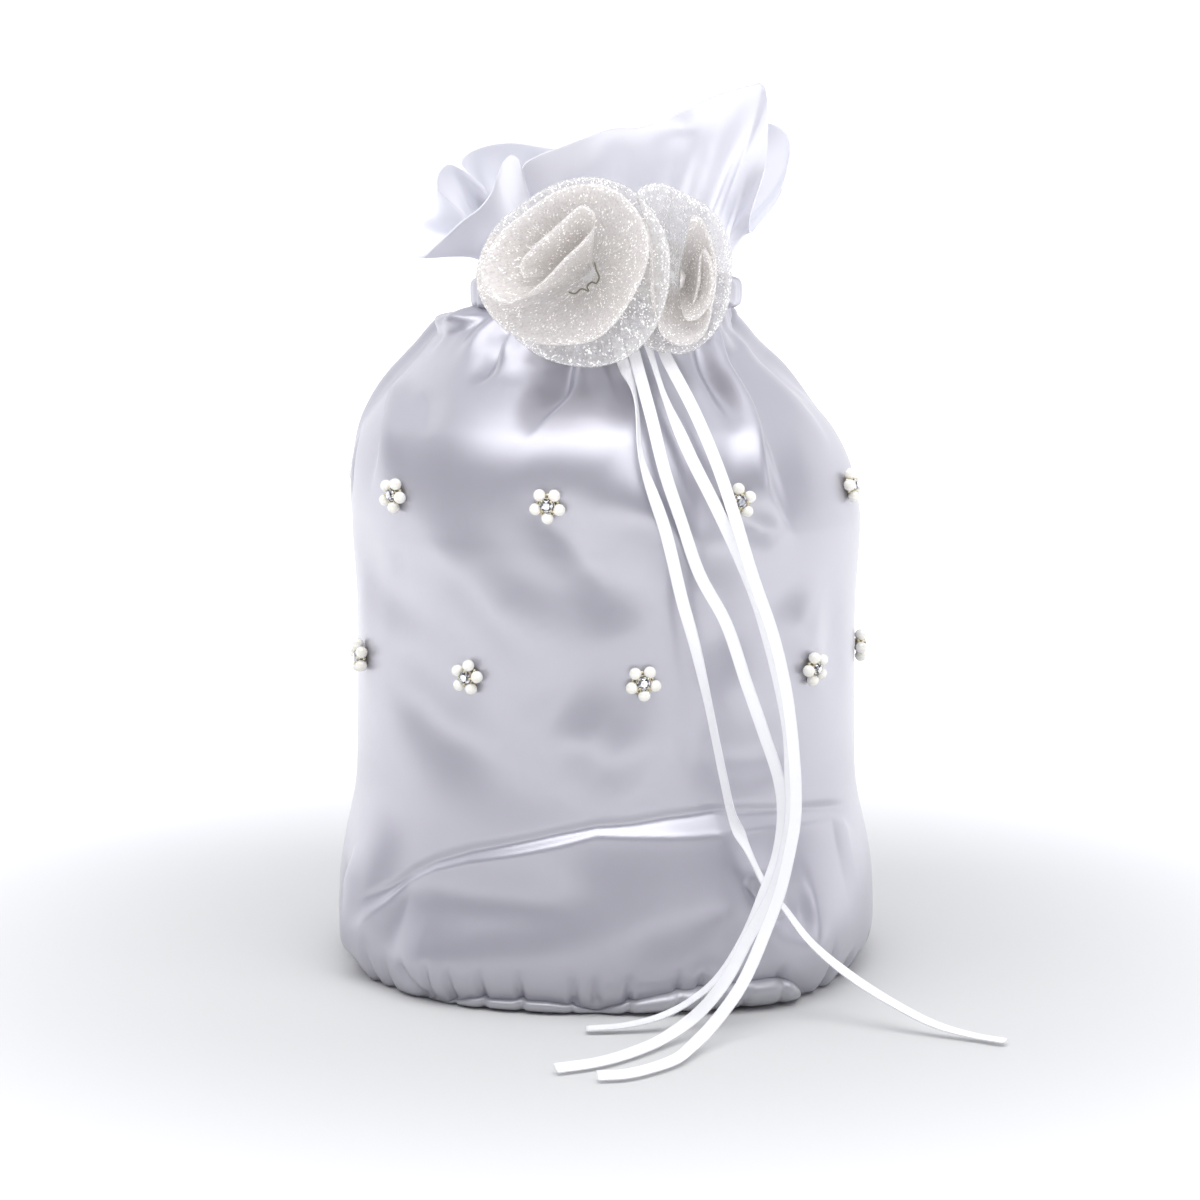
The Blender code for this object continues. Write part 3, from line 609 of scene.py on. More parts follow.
def bag_points(angle, arc):
    """Points of the satin, as x, y, z in mm, for angles from the front and lengths up the outline."""
    radius = np.interp(arc, OUTLINE_S, OUTLINE_R)
    height = np.interp(arc, OUTLINE_S, OUTLINE_Z)
    out_r = np.gradient(OUTLINE_Z, OUTLINE_S)
    out_z = -np.gradient(OUTLINE_R, OUTLINE_S)
    nr, nz = np.interp(arc, OUTLINE_S, out_r), np.interp(arc, OUTLINE_S, out_z)
    crease_a = np.array([c[0] for c in CREASE], float)
    line = np.interp(angle, crease_a, [c[1] for c in CREASE])
    ledge = np.interp(angle, crease_a, [c[2] for c in CREASE])
    shown = smooth(angle, -64, -46) * (1.0 - smooth(angle, 56, 72))
    bulge = lower_bulge(angle)
    step_out = np.minimum(0.56 * ledge, 0.5 * bulge + 0.9)
    sharp = step_out * smooth(line - height, 0.0, ledge) - 0.5 * np.exp(-((height - line - 0.5) / 1.1) ** 2)
    soft = 1.6 * smooth(46.0 - height, 0.0, 26.0)
    rest = np.maximum(bulge - step_out, 0.0) * smooth(line + 2.0 - height, 4.0, 30.0)
    foot = 1.0 - 0.28 * smooth(9.0 - height, 0.0, 8.0)
    move = (shown * (sharp + rest) + (1 - shown) * (soft + bulge * smooth(44 - height, 0.0, 36.0))) * foot
    for fold in (*FOLDS, *seam_gathers()):
        move += fold_offset(angle, arc, *fold)
    for fold in (*back_folds(), *seam_gathers()):
        for turn in (0.0, 360.0):
            span = [p[0] - turn for p in fold[0]]
            if max(span) < -200 or min(span) > 200 or (turn == 0.0 and max(span) < 48):
                continue
            moved = tuple((p[0] - turn, p[1]) for p in fold[0])
            if turn == 360.0 and fold[0][0][0] < 60:
                continue
            move += fold_offset(angle, arc, moved, *fold[1:])
    move += neck_pleats(angle, height)
    slow = (np.sin(np.radians(angle) * 3 + 0.6 + height / 23) + np.sin(np.radians(angle) * 5 - height / 17))
    move += 0.16 * slow * (1 - smooth(height, 140, 150)) * smooth(height, 8, 20)
    r = radius + move * nr
    z = height + move * nz
    lean = np.interp(height, (105, 130, 141, 149, 154.5), (0.0, 2.4, 4.0, 4.0, 0.0))
    turn = np.radians(angle)
    return np.stack([r * np.sin(turn) - lean * np.abs(np.sin(turn)), -r * np.cos(turn), z], axis=-1)


def seam_height(angle):
    a = wrapped(angle)
    return np.interp(a, [s[0] for s in SEAM], [s[1] for s in SEAM])


def make_bag():
    angle = np.linspace(-180.0, 180.0, BAG_AROUND, endpoint=False)
    share = np.linspace(0.0, 1.0, BAG_RISE)
    seam = arc_of(np.maximum(seam_height(angle), 1.5))
    top = OUTLINE_S[-1]
    A = np.broadcast_to(angle, (BAG_RISE, BAG_AROUND)).ravel()
    S = (seam[None, :] + (top - seam[None, :]) * share[:, None]).ravel()
    points = bag_points(A, S)
    low = np.repeat((1.0 - smooth(share * (top - 5.0), 0.0, 3.0))[:, None], BAG_AROUND, 1).ravel()
    pinch = 1.0 - 0.008 * low
    points[:, 0] *= pinch
    points[:, 1] *= pinch
    points[:, 2] -= low * np.where(seam_height(A) < 1.5, 1.0, 0.0)
    points[:, 2] = np.maximum(points[:, 2], 0.35)
    uv = np.stack([np.radians(A) * 0.06, S * MM], axis=1)
    made = mesh_object("satin_bag", points * MM, grid_faces(BAG_RISE, BAG_AROUND, closed=True), SATIN, uv=uv)
    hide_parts("satin_body", "drawstring_channel")
    return points.reshape(BAG_RISE, BAG_AROUND, 3)


BAG = make_bag()


def make_base():
    """The round base: its edge rolls up to meet the gathered seam, the bag's lowest row of points."""
    rim = BAG[0]
    radius = np.hypot(rim[:, 0], rim[:, 1])
    spin = np.stack([rim[:, 0] / radius, rim[:, 1] / radius], axis=1)
    tall = np.maximum(rim[:, 2], 0.4)
    rows, uv = [], []
    roll = ((-0.25, 1.00), (0.55, 0.93), (0.95, 0.74), (1.0, 0.52), (0.70, 0.30), (0.05, 0.12),
            (-1.1, 0.025), (-3.0, 0.0))
    for outward, level in roll:
        reach = radius + outward * np.minimum(tall * 0.45, 2.6)
        rows.append(np.column_stack([spin * reach[:, None], tall * level + 0.05]))
    for share in (0.8, 0.55, 0.3, 0.1):
        rows.append(np.column_stack([spin * (radius * share)[:, None], np.full(len(radius), 0.05)]))
    verts = np.vstack(rows)
    for row in rows:
        uv.extend(row[:, :2] * MM)
    faces = grid_faces(len(rows), BAG_AROUND, closed=True, flip=True)
    faces.append(tuple(range((len(rows) - 1) * BAG_AROUND, len(rows) * BAG_AROUND))[::-1])
    # The base takes the satin copy painted darker: painted shade at the foot of the bag.
    made = mesh_object("satin_base", verts * MM, faces, BASE_SATIN_PAINTED_DARKER, uv=uv)
    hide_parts("base_panel")


def make_lining():
    """The lining hangs a little inside the satin, without its sharp folds."""
    around, rise = 150, 70
    angle = np.linspace(-180.0, 180.0, around, endpoint=False)
    arcs = np.linspace(arc_of(4.0), OUTLINE_S[-1], rise)
    A = np.broadcast_to(angle, (rise, around)).ravel()
    S = np.repeat(arcs, around)
    height = np.interp(S, OUTLINE_S, OUTLINE_Z)
    radius = np.interp(S, OUTLINE_S, OUTLINE_R) - 3.4 - 2.6 * smooth(height, 110, 126)
    radius += 3.0 * smooth(height, 146, 156)
    radius += 0.5 * np.sin(np.radians(A) * 21) * smooth(height, 120, 150)
    turn = np.radians(A)
    verts = np.stack([radius * np.sin(turn), -radius * np.cos(turn), height], axis=1)
    uv = np.stack([turn * 0.06, S * MM], axis=1)
    faces = grid_faces(rise, around, closed=True, flip=True)
    made = mesh_object("lining_bag", verts * MM, faces, LINING, uv=uv)
    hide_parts("lining")


make_base()
make_lining()


# ---------------------------------------------------------------- frill

# Hem of the frill, going round from the back by the left: angle at the neck, then x, y, z in mm.
HEM = (
    (-180, -4, 35, 190.5), (-164, -14, 33.5, 191), (-148, -24, 29, 192), (-134, -32, 22, 190),
    (-124, -34.5, 16, 187), (-117, -29, 9, 181.5), (-109, -32.6, 4, 184.6), (-101, -36.8, 0, 186.6),
    (-94, -39.2, -4, 184), (-88, -39.6, -7, 179.2), (-83, -41.2, -10, 175.4), (-78, -43.4, -12, 171.8),
    (-73, -44.6, -14, 168.4), (-69, -42.4, -17, 165.4), (-64, -39.2, -19.5, 167.7), (-58, -35.2, -22, 171.3),
    (-51, -32.1, -24, 174), (-45, -28.4, -26, 176.7), (-40, -25.7, -28, 180.2), (-36, -24.2, -29.5, 184.2),
    (-32, -22.9, -30.5, 187), (-29, -21.2, -31.5, 188.4), (-26, -19.6, -31.6, 187.5),
    (-23.5, -18.8, -31, 185), (-21, -18.5, -29.5, 181), (-18.5, -19.2, -27, 181),
    (-16, -18.6, -27.2, 186), (-13, -15.5, -27.1, 188.2), (-9, -11, -27.2, 189.9), (-4, -5, -27.1, 192.2),
    (2, 1.6, -26.2, 194.4), (8, 6.6, -25.5, 194.5), (14, 12, -25, 196.1), (23, 18.6, -24, 199.1),
    (34, 26, -22, 202.3), (45, 32, -19.8, 204), (53, 35.2, -19, 204.5), (58, 36.4, -19.6, 200.8),
    (62, 36.6, -18.4, 193), (66, 36.4, -17.6, 187), (70, 35.2, -17, 181.6), (74, 33.4, -15.6, 174.6),
    (78, 33.6, -12, 171), (83, 37.4, -8, 175), (89, 40.6, -4, 180.2), (96, 42.4, 0.5, 185.4),
    (104, 43.4, 5, 190.2), (112, 42.8, 9.5, 193.6), (122, 39.6, 15, 196.2), (136, 31, 23, 197),
    (150, 20, 29.5, 194.5), (165, 8.6, 34, 191.5), (180, -4, 35, 190.5),
)
FRILL_RISE = 60


def hem_line(angles):
    table = spline([(h[1], h[2], h[3], h[0]) for h in HEM], 1600)
    order = np.maximum.accumulate(table[:, 3])
    return np.stack([np.interp(wrapped(angles), order, table[:, k]) for k in range(3)], axis=1)


def frill_points(angles, shares):
    """Ribs that rise from the pleated neck and turn out to the hem."""
    hem = hem_line(angles)
    turn = np.radians(angles)
    pleat = neck_pleats(angles, np.full(len(angles), 153.0))
    foot_r = NECK_RADIUS + pleat * 0.8
    foot = np.stack([foot_r * np.sin(turn), -foot_r * np.cos(turn), np.full(len(angles), FRILL_FOOT)], axis=1)
    out = np.stack([np.sin(turn), -np.cos(turn), np.zeros(len(angles))], axis=1)
    reach = np.linalg.norm(hem - foot, axis=1, keepdims=True)
    low = foot + reach * 0.36 * unit(np.array([0, 0, 1.0]) * 0.95 + out * 0.18)
    fall = smooth(190.0 - hem[:, 2:3], 0.0, 22.0)
    high = hem - reach * 0.30 * unit(np.array([0, 0, 1.0]) * (1.0 - 0.95 * fall) + out * (0.25 + 0.75 * fall))
    t = shares[:, None, None]
    ribs = ((1 - t) ** 3 * foot + 3 * (1 - t) ** 2 * t * low + 3 * (1 - t) * t * t * high + t ** 3 * hem)
    ripple = (pleat * 1.1)[None, :, None] * ((1 - t) ** 3.2 * smooth(t, -0.02, 0.10)) * out[None]
    soft = (0.8 * np.sin(turn * 9 + 0.8) + 0.5 * np.sin(turn * 14 + 2.1))[None, :, None]
    body = smooth(t, 0.1, 0.45) * (1 - smooth(t, 0.6, 1.0)) * out[None]
    return ribs + ripple + soft * body


def dimple(points, centre, size, depth, way):
    """Presses a soft hollow into the points round a place, in mm."""
    gap = np.linalg.norm((points - np.array(centre)) / np.array(size), axis=-1, keepdims=True)
    return points + np.array(way) * depth * np.exp(-gap ** 2)


def make_frill_half(name, node, first, last, count):
    angles = np.linspace(first, last, count)
    shares = np.linspace(0.0, 1.0, FRILL_RISE)
    sheet = frill_points(angles, shares)
    if node == "frill_front":
        sheet = dimple(sheet, (16.5, -28, 194.5), (5.0, 30, 4.2), 1.6, (0, 1, 0))
        sheet = dimple(sheet, (22.0, -28, 189), (3.0, 30, 9.0), 1.1, (0, -1, 0))
        sheet = dimple(sheet, (31, -20, 176), (5.0, 30, 8.0), 2.6, (-0.2, 1, 0))
        sheet = dimple(sheet, (-4, -28, 184), (5.0, 30, 6.0), 1.2, (0, 1, 0))
    sheet = sheet.reshape(-1, 3)
    uv = np.stack([np.tile(np.radians(angles) * 0.05, FRILL_RISE), np.repeat(shares * 0.03, count)], axis=1)
    # The frill takes the satin copy painted lighter: painted light on the top of the bag.
    made = mesh_object(name, sheet * MM, grid_faces(FRILL_RISE, count), FRILL_SATIN_PAINTED_LIGHTER, body=None, uv=uv)
    wall = made.modifiers.new("Cloth", "SOLIDIFY")
    wall.thickness = 0.45 * MM
    wall.offset = 0.0
    wall.use_rim = True
    round_edge = made.modifiers.new("Hem", "BEVEL")
    round_edge.width = 0.16 * MM
    round_edge.segments = 2
    round_edge.limit_method = "ANGLE"
    round_edge.angle_limit = math.radians(50)
    apply_modifiers(made)
    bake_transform(made)
    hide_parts(node)
    return made


def apply_modifiers(made):
    """Puts the object's modifiers into its mesh."""
    graph = bpy.context.evaluated_depsgraph_get()
    data = bpy.data.meshes.new_from_object(made.evaluated_get(graph), depsgraph=graph)
    made.modifiers.clear()
    made.data = data
    data.shade_smooth()


make_frill_half("frill_front_satin", "frill_front", -90.0, 90.0, 900)
make_frill_half("frill_back_satin", "frill_back", 90.0, 270.0, 420)


# ---------------------------------------------------------------- roses

# Folded edge of each rose's strip, wound from the bud outwards: x, y, z in mm.
ROSE_RIMS = {
    "left": (
        (-17.3, -57.0, 162.1), (-17.9, -57.5, 164.6), (-15.0, -58.5, 168.3), (-11.3, -59.0, 171.6),
        (-8.0, -59.0, 174.8), (-5.2, -59.0, 176.9), (-2.7, -59.5, 175.4), (-2.6, -60.0, 172.8),
        (-5.2, -60.5, 169.0), (-8.4, -61.0, 165.9), (-12.5, -61.5, 161.9), (-17.0, -61.5, 158.6),
        (-21.1, -61.0, 156.6), (-24.6, -60.0, 158.4), (-26.3, -58.5, 162.2), (-25.3, -57.0, 166.6),
        (-22.3, -55.5, 171.5), (-17.1, -54.5, 175.8), (-11.4, -53.5, 179.5), (-5.2, -53.0, 181.3),
        (0.6, -53.0, 180.5), (4.7, -53.5, 177.6), (7.6, -54.0, 173.1), (8.6, -54.5, 168.6),
        (7.6, -55.0, 163.3), (5.1, -55.5, 158.0), (1.8, -56.0, 152.7), (-2.7, -56.0, 149.0),
        (-8.5, -55.5, 148.1), (-14.3, -54.5, 148.5), (-19.7, -53.5, 150.1), (-24.7, -52.5, 154.2),
        (-27.5, -51.0, 159.5), (-27.3, -49.5, 165.2), (-23.6, -48.0, 172.6), (-18.1, -47.0, 177.2),
        (-11.1, -46.5, 181.1), (-2.7, -46.5, 182.5), (4.8, -47.0, 180.5), (9.8, -47.5, 175.9),
        (12.7, -48.0, 170.2), (13.3, -48.5, 164.4), (12.3, -49.0, 156.9), (9.8, -49.0, 150.7),
        (5.2, -49.0, 145.9), (-1.1, -48.5, 143.4), (-8.6, -48.0, 143.2), (-15.3, -47.5, 145.2),
        (-19.9, -46.6, 149.0),
    ),
    "right": (
        (18.9, -44.5, 155.9), (19.6, -45.0, 159.7), (20.2, -45.5, 164.3), (20.8, -46.0, 167.4),
        (22.0, -46.0, 166.2), (22.9, -46.0, 161.8), (22.4, -46.0, 156.8), (19.9, -46.5, 153.3),
        (17.4, -47.0, 153.1), (16.1, -47.5, 158.5), (16.5, -48.0, 165.2), (17.7, -48.0, 171.4),
        (18.6, -47.0, 174.4), (20.4, -45.5, 173.8), (22.4, -44.5, 169.3), (23.7, -44.0, 163.4),
        (23.1, -44.0, 155.9), (21.3, -44.5, 149.6), (17.0, -46.0, 147.4), (12.6, -48.0, 149.8),
        (10.6, -49.5, 156.1), (10.0, -50.0, 165.2), (8.6, -48.6, 173.4), (7.2, -46.4, 180.4),
        (11.6, -44.6, 181.8), (17.6, -43.0, 179.0), (23.4, -41.0, 174.6), (26.6, -40.0, 167.5),
        (27.1, -40.0, 161.6), (26.3, -40.0, 154.9), (22.2, -41.0, 148.2), (17.1, -42.0, 145.3),
        (10.8, -43.0, 146.2), (7.0, -43.5, 149.2),
    ),
}
# Where each strip is gathered in, at the bud and at its end: x, y, z in mm.
ROSE_ROOTS = {
    "left": ((-3.3, -46.0, 162.4), (-4.0, -42.0, 162.4)),
    "right": ((16.6, -38.4, 161.2), (13.4, -34.4, 161.2)),
}
ROSE_STRIP_LENGTH = {"left": 0.36, "right": 0.25}


def rose_strip(side, rows, rise):
    """The doubled strip: up from its gathered root, over the fold and down again behind."""
    rim = spline(ROSE_RIMS[side], rows)
    share = np.linspace(0.0, 1.0, rows)[:, None]
    first, last = (np.array(place) for place in ROSE_ROOTS[side])
    throat = first + (last - first) * share
    wave = np.linspace(0.0, 1.0, rows) * ROSE_STRIP_LENGTH[side] / 0.0011
    soft = np.sin(wave * 0.11 + 1.0) + 0.6 * np.sin(wave * 0.19 + 0.4)
    away = rim - throat
    flat = unit(away * np.array([1.0, 0.0, 1.0]))
    rim = rim + flat * (0.30 * soft * (0.3 + 0.7 * share[:, 0]))[:, None]
    rim[:, 1] += 0.35 * np.sin(wave * 0.15 + 2.0)
    root = throat + (rim - throat) * np.array([0.10, 0.0, 0.10])
    columns = []
    for g in np.linspace(0.0, 1.0, rise):
        place = root + (rim - root) * np.array([g ** 1.1, g ** 0.75, g ** 1.1])
        pucker = 0.22 * np.sin(wave * 0.9)[:, None] * (1.0 - g) ** 1.2
        columns.append(place + flat * (1.1 * math.sin(math.pi * g) ** 1.2) + flat * pucker)
    over = rim + flat * 0.42 + np.array([0.0, 0.30, 0.0])
    columns.append(over)
    for g in np.linspace(1.0, 0.12, rise):
        place = root + (rim - root) * np.array([g ** 1.05, g ** 0.75, g ** 1.05])
        columns.append(place + flat * (0.75 + 1.0 * math.sin(math.pi * g)) + np.array([0.0, 0.7, 0.0]))
    return np.stack(columns, axis=1)


def make_rose(side):
    rows, rise = 620, 14
    strip = rose_strip(side, rows, rise)
    wide = strip.shape[1]
    # The strip winds through the bud, the inner and the outer petals.
    cuts = {"bud": (0.0, 0.30), "inner_petals": (0.30, 0.64), "outer_petals": (0.64, 1.0)}
    for part, (first, last) in cuts.items():
        low, high = int(first * (rows - 1)), int(last * (rows - 1)) + 1
        piece = strip[low:high] * MM
        count = piece.shape[0]
        length = np.linspace(first, last, count) * ROSE_STRIP_LENGTH[side]
        over = np.linspace(0, ROSE_STRIP_WIDTH, wide)
        uv = np.stack([np.repeat(length, wide), np.tile(over, count)], axis=1)
        mat = ORGANZA_SHEER if part == "outer_petals" else ORGANZA
        faces = grid_faces(count, wide)
        made = mesh_object(f"rose_{side}_{part}_organza", piece.reshape(-1, 3), faces, mat, uv=uv)
        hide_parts(f"rose_{side}_{part}")


for rose in ROSE_RIMS:
    make_rose(rose)


def thread(name, route, radius, mat):
    """A short length of sewing thread along a route in mm."""
    line = spline(route, 60) * MM
    along = unit(np.gradient(line, axis=0))
    side = unit(np.cross(along, (0.2, 0.9, 0.3)))
    other = np.cross(along, side)
    turns = np.linspace(0, 2 * math.pi, 7)[:-1]
    verts = np.vstack([p + radius * (math.cos(a) * s + math.sin(a) * o)
                       for p, s, o in zip(line, side, other) for a in turns])
    faces = grid_faces(len(line), 6, closed=True)
    faces.append(tuple(range(6))[::-1])
    faces.append(tuple(range(len(verts) - 6, len(verts))))
    made = mesh_object(name, verts, faces, mat)


thread("rose_left_gathering_thread", (
    (-2.6, -47.6, 165.0), (-2.2, -48.6, 163.4), (-1.6, -48.8, 161.9), (-2.2, -49.2, 160.6),
    (-3.2, -48.6, 160.8), (-4.2, -49.6, 159.8), (-3.8, -50.2, 158.9), (-5.4, -50.0, 159.4),
    (-6.8, -50.4, 158.4), (-8.2, -50.0, 158.7)),
    0.20 * MM, ROSE_THREAD)


# ---------------------------------------------------------------- beads

def ball(radius, place, rings=12, segments=18):
    shape = bmesh.new()
    bmesh.ops.create_uvsphere(shape, u_segments=segments, v_segments=rings, radius=radius)
    verts = [v.co + Vector(place) for v in shape.verts]
    faces = [[v.index for v in f.verts] for f in shape.faces]
    shape.free()
    return verts, faces


def flower_parts():
    """One bead flower on its back at z = 0: pearls, metal cup with claws, and their places."""
    verts, faces, mats = [], [], []

    def join(vs, fs, mat):
        base = len(verts)
        verts.extend(vs)
        faces.extend([[i + base for i in f] for f in fs])
        mats.extend([mat] * len(fs))

    for index in range(5):
        angle = math.radians(90 + 72 * index)
        join(*ball(1.38 * MM, (2.75 * MM * math.cos(angle), 2.75 * MM * math.sin(angle), 1.36 * MM)), 0)
        hole = math.radians(90 + 72 * index + 36)
        join(*ball(0.42 * MM, (2.25 * MM * math.cos(hole), 2.25 * MM * math.sin(hole), 0.7 * MM), 6, 8), 1)
    profile = ((1.35, 0.0), (1.5, 0.5), (1.72, 1.3), (1.82, 1.75), (1.72, 1.9), (1.55, 1.7), (1.2, 1.1),
               (0.6, 0.8))
    count = 24
    cup = [(r * MM * math.cos(2 * math.pi * i / count), r * MM * math.sin(2 * math.pi * i / count), z * MM)
           for r, z in profile for i in range(count)]
    cup_faces = grid_faces(len(profile), count, closed=True)
    cup_faces.append(tuple(range((len(profile) - 1) * count, len(profile) * count)))
    cup_faces.append(tuple(range(count))[::-1])
    join([Vector(p) for p in cup], cup_faces, 1)
    for index in range(4):
        angle = math.radians(45 + 90 * index)
        for step in range(4):
            rise = step / 3
            reach = (1.80 - 0.42 * rise) * MM
            place = (reach * math.cos(angle), reach * math.sin(angle), (1.6 + 0.75 * rise) * MM)
            join(*ball((0.34 - 0.10 * rise) * MM, place, 6, 8), 1)
    return verts, faces, mats


def stone_parts():
    """A round cut stone: flat table, two rings of facets and a short pavilion."""
    rings = ((0.78, 2.62, 8, 0.0), (1.22, 2.42, 8, 22.5), (1.50, 2.02, 16, 0.0), (1.50, 1.92, 16, 0.0),
             (0.5, 1.20, 8, 0.0))
    shape = bmesh.new()
    for radius, height, count, turn in rings:
        for i in range(count):
            angle = math.radians(turn + 360 * i / count)
            shape.verts.new((radius * MM * math.cos(angle), radius * MM * math.sin(angle), height * MM))
    bmesh.ops.convex_hull(shape, input=shape.verts)
    bmesh.ops.dissolve_limit(shape, angle_limit=math.radians(2), verts=shape.verts, edges=shape.edges)
    bmesh.ops.recalc_face_normals(shape, faces=shape.faces)
    shape.verts.index_update()
    verts = [v.co.copy() for v in shape.verts]
    faces = [[v.index for v in f.verts] for f in shape.faces]
    shape.free()
    # Two facets in five take the near-white stone colour, painted reflections; the rest take the dark one.
    mats = [1 if (k * 7) % 5 in (0, 3) else 0 for k in range(len(faces))]
    return verts, faces, mats


def bead_frame(node):
    """Where a bead flower sits: over the middle of its CAD node, along the bag's slope."""
    low, high = (np.array(c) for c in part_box(node))
    middle = (low + high) / 2 / MM
    angle = math.degrees(math.atan2(middle[0], -middle[1]))
    arc = float(arc_of(middle[2]))
    step = 1.4
    probe = np.array([(angle, arc), (angle + step, arc), (angle - step, arc),
                      (angle, arc + step), (angle, arc - step)])
    p = bag_points(probe[:, 0], probe[:, 1])
    across = unit(p[1] - p[2])
    up = unit(p[3] - p[4])
    out = unit(np.cross(across, up))
    if out @ np.array([p[0][0], p[0][1], 0.0]) < 0:
        out = -out
    return p[0] + out * 0.12, across, up, out


def make_beads():
    flower = flower_parts()
    stone = stone_parts()
    for row in ("upper", "lower"):
        for index in range(1, 10):
            node = f"pearl_flower_{row}_{index}"
            centre, across, up, out = bead_frame(node)
            turn = Matrix(np.column_stack([across, up, out]).tolist())
            spin = Matrix.Rotation(RNG.uniform(0, 6.28), 3, "Z")
            pair = ((f"bead_flower_{row}_{index}", flower, node, [PEARL, METAL], "pearl"),
                    (f"cut_stone_{row}_{index}", stone, f"rhinestone_{row}_{index}",
                     [STONE_DARK, STONE_PAINTED_BRIGHT_FACETS], "stone"))
            for name, (verts, faces, mats), cad, looks, slot in pair:
                placed = [(turn @ (spin @ v)) + Vector(centre) * MM for v in verts]
                made = mesh_object(name, [tuple(v) for v in placed], faces, looks)
                made.data.polygons.foreach_set("material_index", mats)
                if slot == "stone":
                    made.data.shade_flat()
                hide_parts(cad)


make_beads()


# ---------------------------------------------------------------- stitches

def capsules(name, places, directions, length, radius, mat):
    """Short rounded stitches as one mesh."""
    verts, faces = [], []
    sides = 6
    for place, way in zip(places, directions):
        way = unit(np.asarray(way, float))
        side = unit(np.cross(way, (0.3, 0.2, 0.93)))
        other = np.cross(way, side)
        base = len(verts)
        for t, r in ((-0.5, 0.35), (-0.36, 0.9), (0.0, 1.0), (0.36, 0.9), (0.5, 0.35)):
            for k in range(sides):
                a = 2 * math.pi * k / sides
                verts.append(np.asarray(place) + way * t * length + (side * math.cos(a) + other * math.sin(a))
                             * radius * r)
        for face in grid_faces(5, sides, closed=True):
            faces.append(tuple(i + base for i in face))
        faces.append(tuple(range(base, base + sides))[::-1])
        faces.append(tuple(range(base + 4 * sides, base + 5 * sides)))
    made = mesh_object(name, np.array(verts), faces, mat)
    return made


def make_stitches():
    """Two rows of gathering stitches round the channel."""
    rows = {"channel_stitches_low": CHANNEL_STITCH_LOW, "channel_stitches_high": CHANNEL_STITCH_HIGH}
    for name, height in rows.items():
        angles = np.linspace(-180, 180, 96, endpoint=False)
        arcs = np.full(len(angles), float(arc_of(height)))
        p = bag_points(angles, arcs)
        after = bag_points(angles + 0.6, arcs)
        outward = unit(p * np.array([1.0, 1.0, 0.0]))
        capsules(name, (p + outward * 0.12) * MM, after - p, 1.15 * MM, 0.14 * MM, STITCH)


make_stitches()


# ---------------------------------------------------------------- carried-over CAD pieces

def repaint(node, mat):
    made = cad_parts[node]
    made.data.materials.clear()
    made.data.materials.append(mat)


repaint("base_stiffener", BOARD)
repaint("base_lining", LINING)
repaint("drawstring_loop_one", RIBBON)
repaint("drawstring_loop_two", RIBBON)
for rose in ROSE_RIMS:
    repaint(f"rose_{rose}_backing", FELT)


# ---------------------------------------------------------------- studio

def area_light(name, place, target, wide, deep, power):
    data = bpy.data.lights.new(name, "AREA")
    data.shape = "RECTANGLE"
    data.size = wide
    data.size_y = deep
    data.energy = power
    made = bpy.data.objects.new(name, data)
    made.location = place
    made.rotation_euler = (Vector(target) - Vector(place)).to_track_quat("-Z", "Y").to_euler()
    SCENE.collection.objects.link(made)


def glow_material(name, color, rough, near, far, start, end, along):
    """A plain surface that also glows, from one strength to another along its length or radius."""
    n = Nodes(name)
    place = n.add("ShaderNodeTexCoord").outputs["Object"]
    if along == "radius":
        reach = n.add("ShaderNodeVectorMath", {0: place}, operation="LENGTH").outputs["Value"]
    else:
        reach = n.add("ShaderNodeSeparateXYZ", {"Vector": place}).outputs[along]
    glow = n.add("ShaderNodeMapRange", {"Value": reach, "From Min": start, "From Max": end, "To Min": near,
                                        "To Max": far}, interpolation_type="SMOOTHSTEP").outputs[0]
    tint = n.ramp(glow, ((0.15, (0.86, 0.87, 1.0)), (0.6, (1.0, 1.0, 1.0))))
    n.tree.links.new(tint, n.shader.inputs["Emission Color"])
    n.tree.links.new(glow, n.shader.inputs["Emission Strength"])
    return n.set(base=color, rough=rough, specular=0.1)


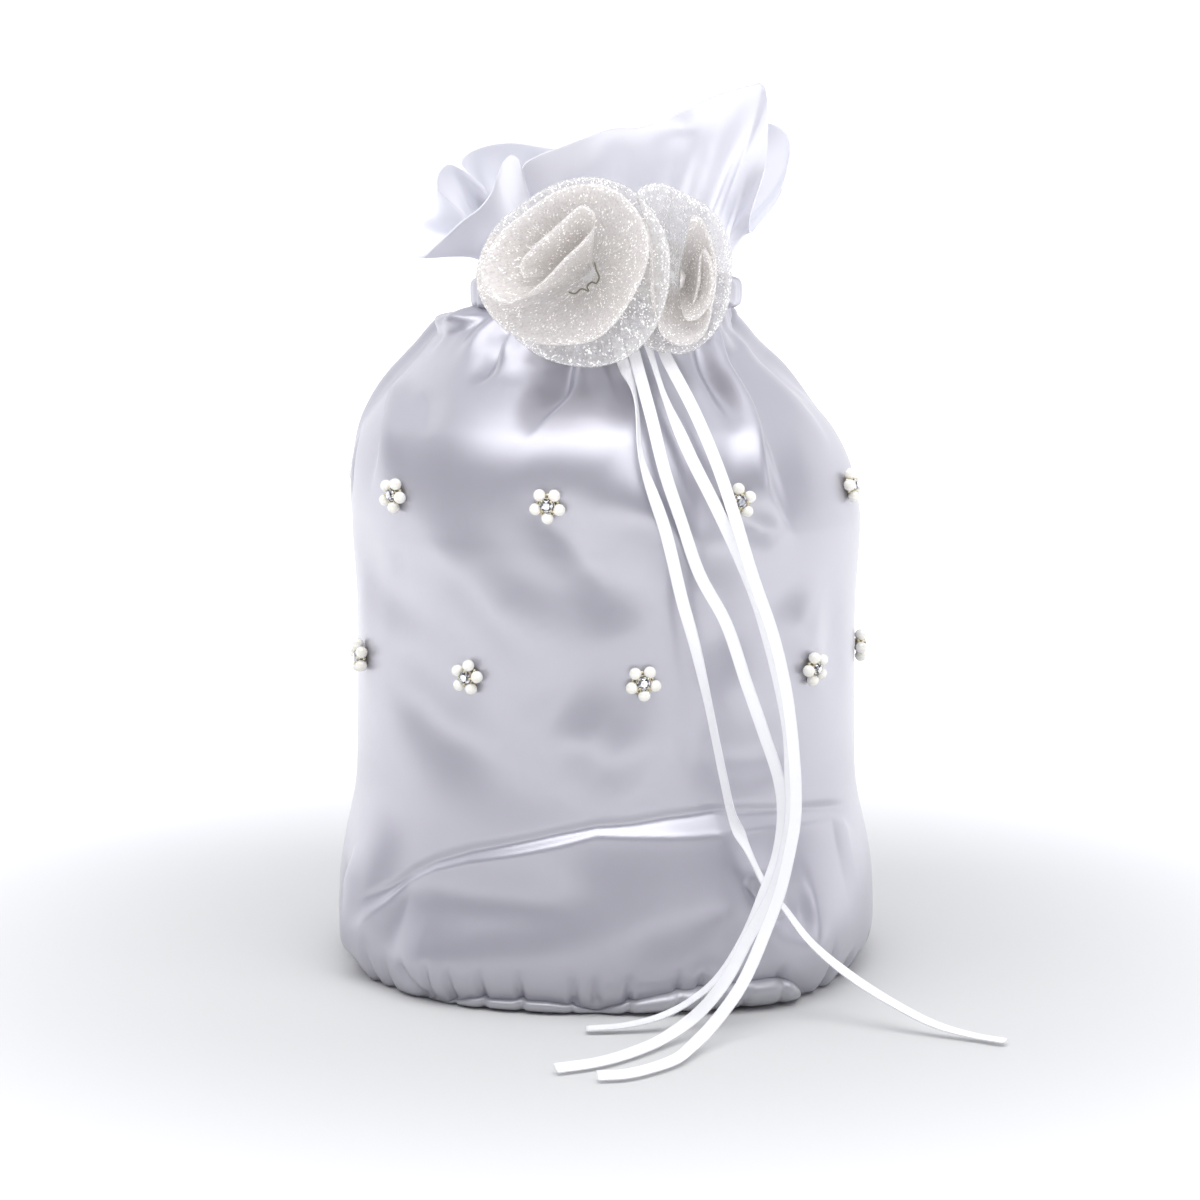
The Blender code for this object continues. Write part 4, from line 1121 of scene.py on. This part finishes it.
def make_sky():
    """World light: dim near the horizon, bright overhead."""
    world = bpy.data.worlds.new("studio")
    world.use_nodes = True
    tree = world.node_tree
    background = tree.nodes["Background"]
    background.inputs["Color"].default_value = (0.93, 0.95, 1.0, 1.0)
    direction = tree.nodes.new("ShaderNodeTexCoord")
    parts = tree.nodes.new("ShaderNodeSeparateXYZ")
    ramp = tree.nodes.new("ShaderNodeMapRange")
    ramp.interpolation_type = "SMOOTHSTEP"
    low, high = SKY_RISE
    for name, value in (("From Min", low), ("From Max", high), ("To Min", SKY_LOW), ("To Max", SKY_HIGH)):
        ramp.inputs[name].default_value = value
    tree.links.new(direction.outputs["Generated"], parts.inputs["Vector"])
    tree.links.new(parts.outputs["Z"], ramp.inputs["Value"])
    tree.links.new(ramp.outputs["Result"], background.inputs["Strength"])
    SCENE.world = world


def make_studio():
    # Painted light and shade on the floor: it is grey with no glow within 9 cm of the bag, so it reads as
    # shadowed there, and it glows towards white from there out to 38 cm.
    floor_glow_and_shade_mat = glow_material("studio_floor", (0.68, 0.68, 0.67), 0.9, 0.0, 0.86, 0.09, 0.38, "radius")
    wall_mat = glow_material("studio_wall", (0.3, 0.3, 0.33), 1.0, 0.08, 1.0, -0.2, 1.3, "Y")
    corners = [(x * FLOOR_HALF, y * FLOOR_HALF, FLOOR_DROP) for x, y in ((-1, -1), (1, -1), (1, 1), (-1, 1))]
    floor = mesh_object("studio_floor", corners, [(0, 1, 2, 3)], floor_glow_and_shade_mat, body=None)
    turns = [2 * math.pi * i / WALL_SIDES for i in range(WALL_SIDES)]
    verts = [(WALL_RADIUS * math.cos(a), WALL_RADIUS * math.sin(a), z) for z in (-0.0001, WALL_HEIGHT)
             for a in turns]
    faces = grid_faces(2, WALL_SIDES, closed=True, flip=True)
    wall = mesh_object("studio_wall", verts, faces, wall_mat, body=None)
    make_sky()
    area_light("top_softbox", (-0.05, -0.42, 0.92), (0.0, 0.0, 0.1), 1.6, 0.55, 6.4)
    area_light("side_softbox", (0.8, -0.35, 0.35), (0.0, 0.0, 0.1), 0.25, 0.25, 0.4)
    SCENE.view_settings.view_transform = "Standard"


make_studio()
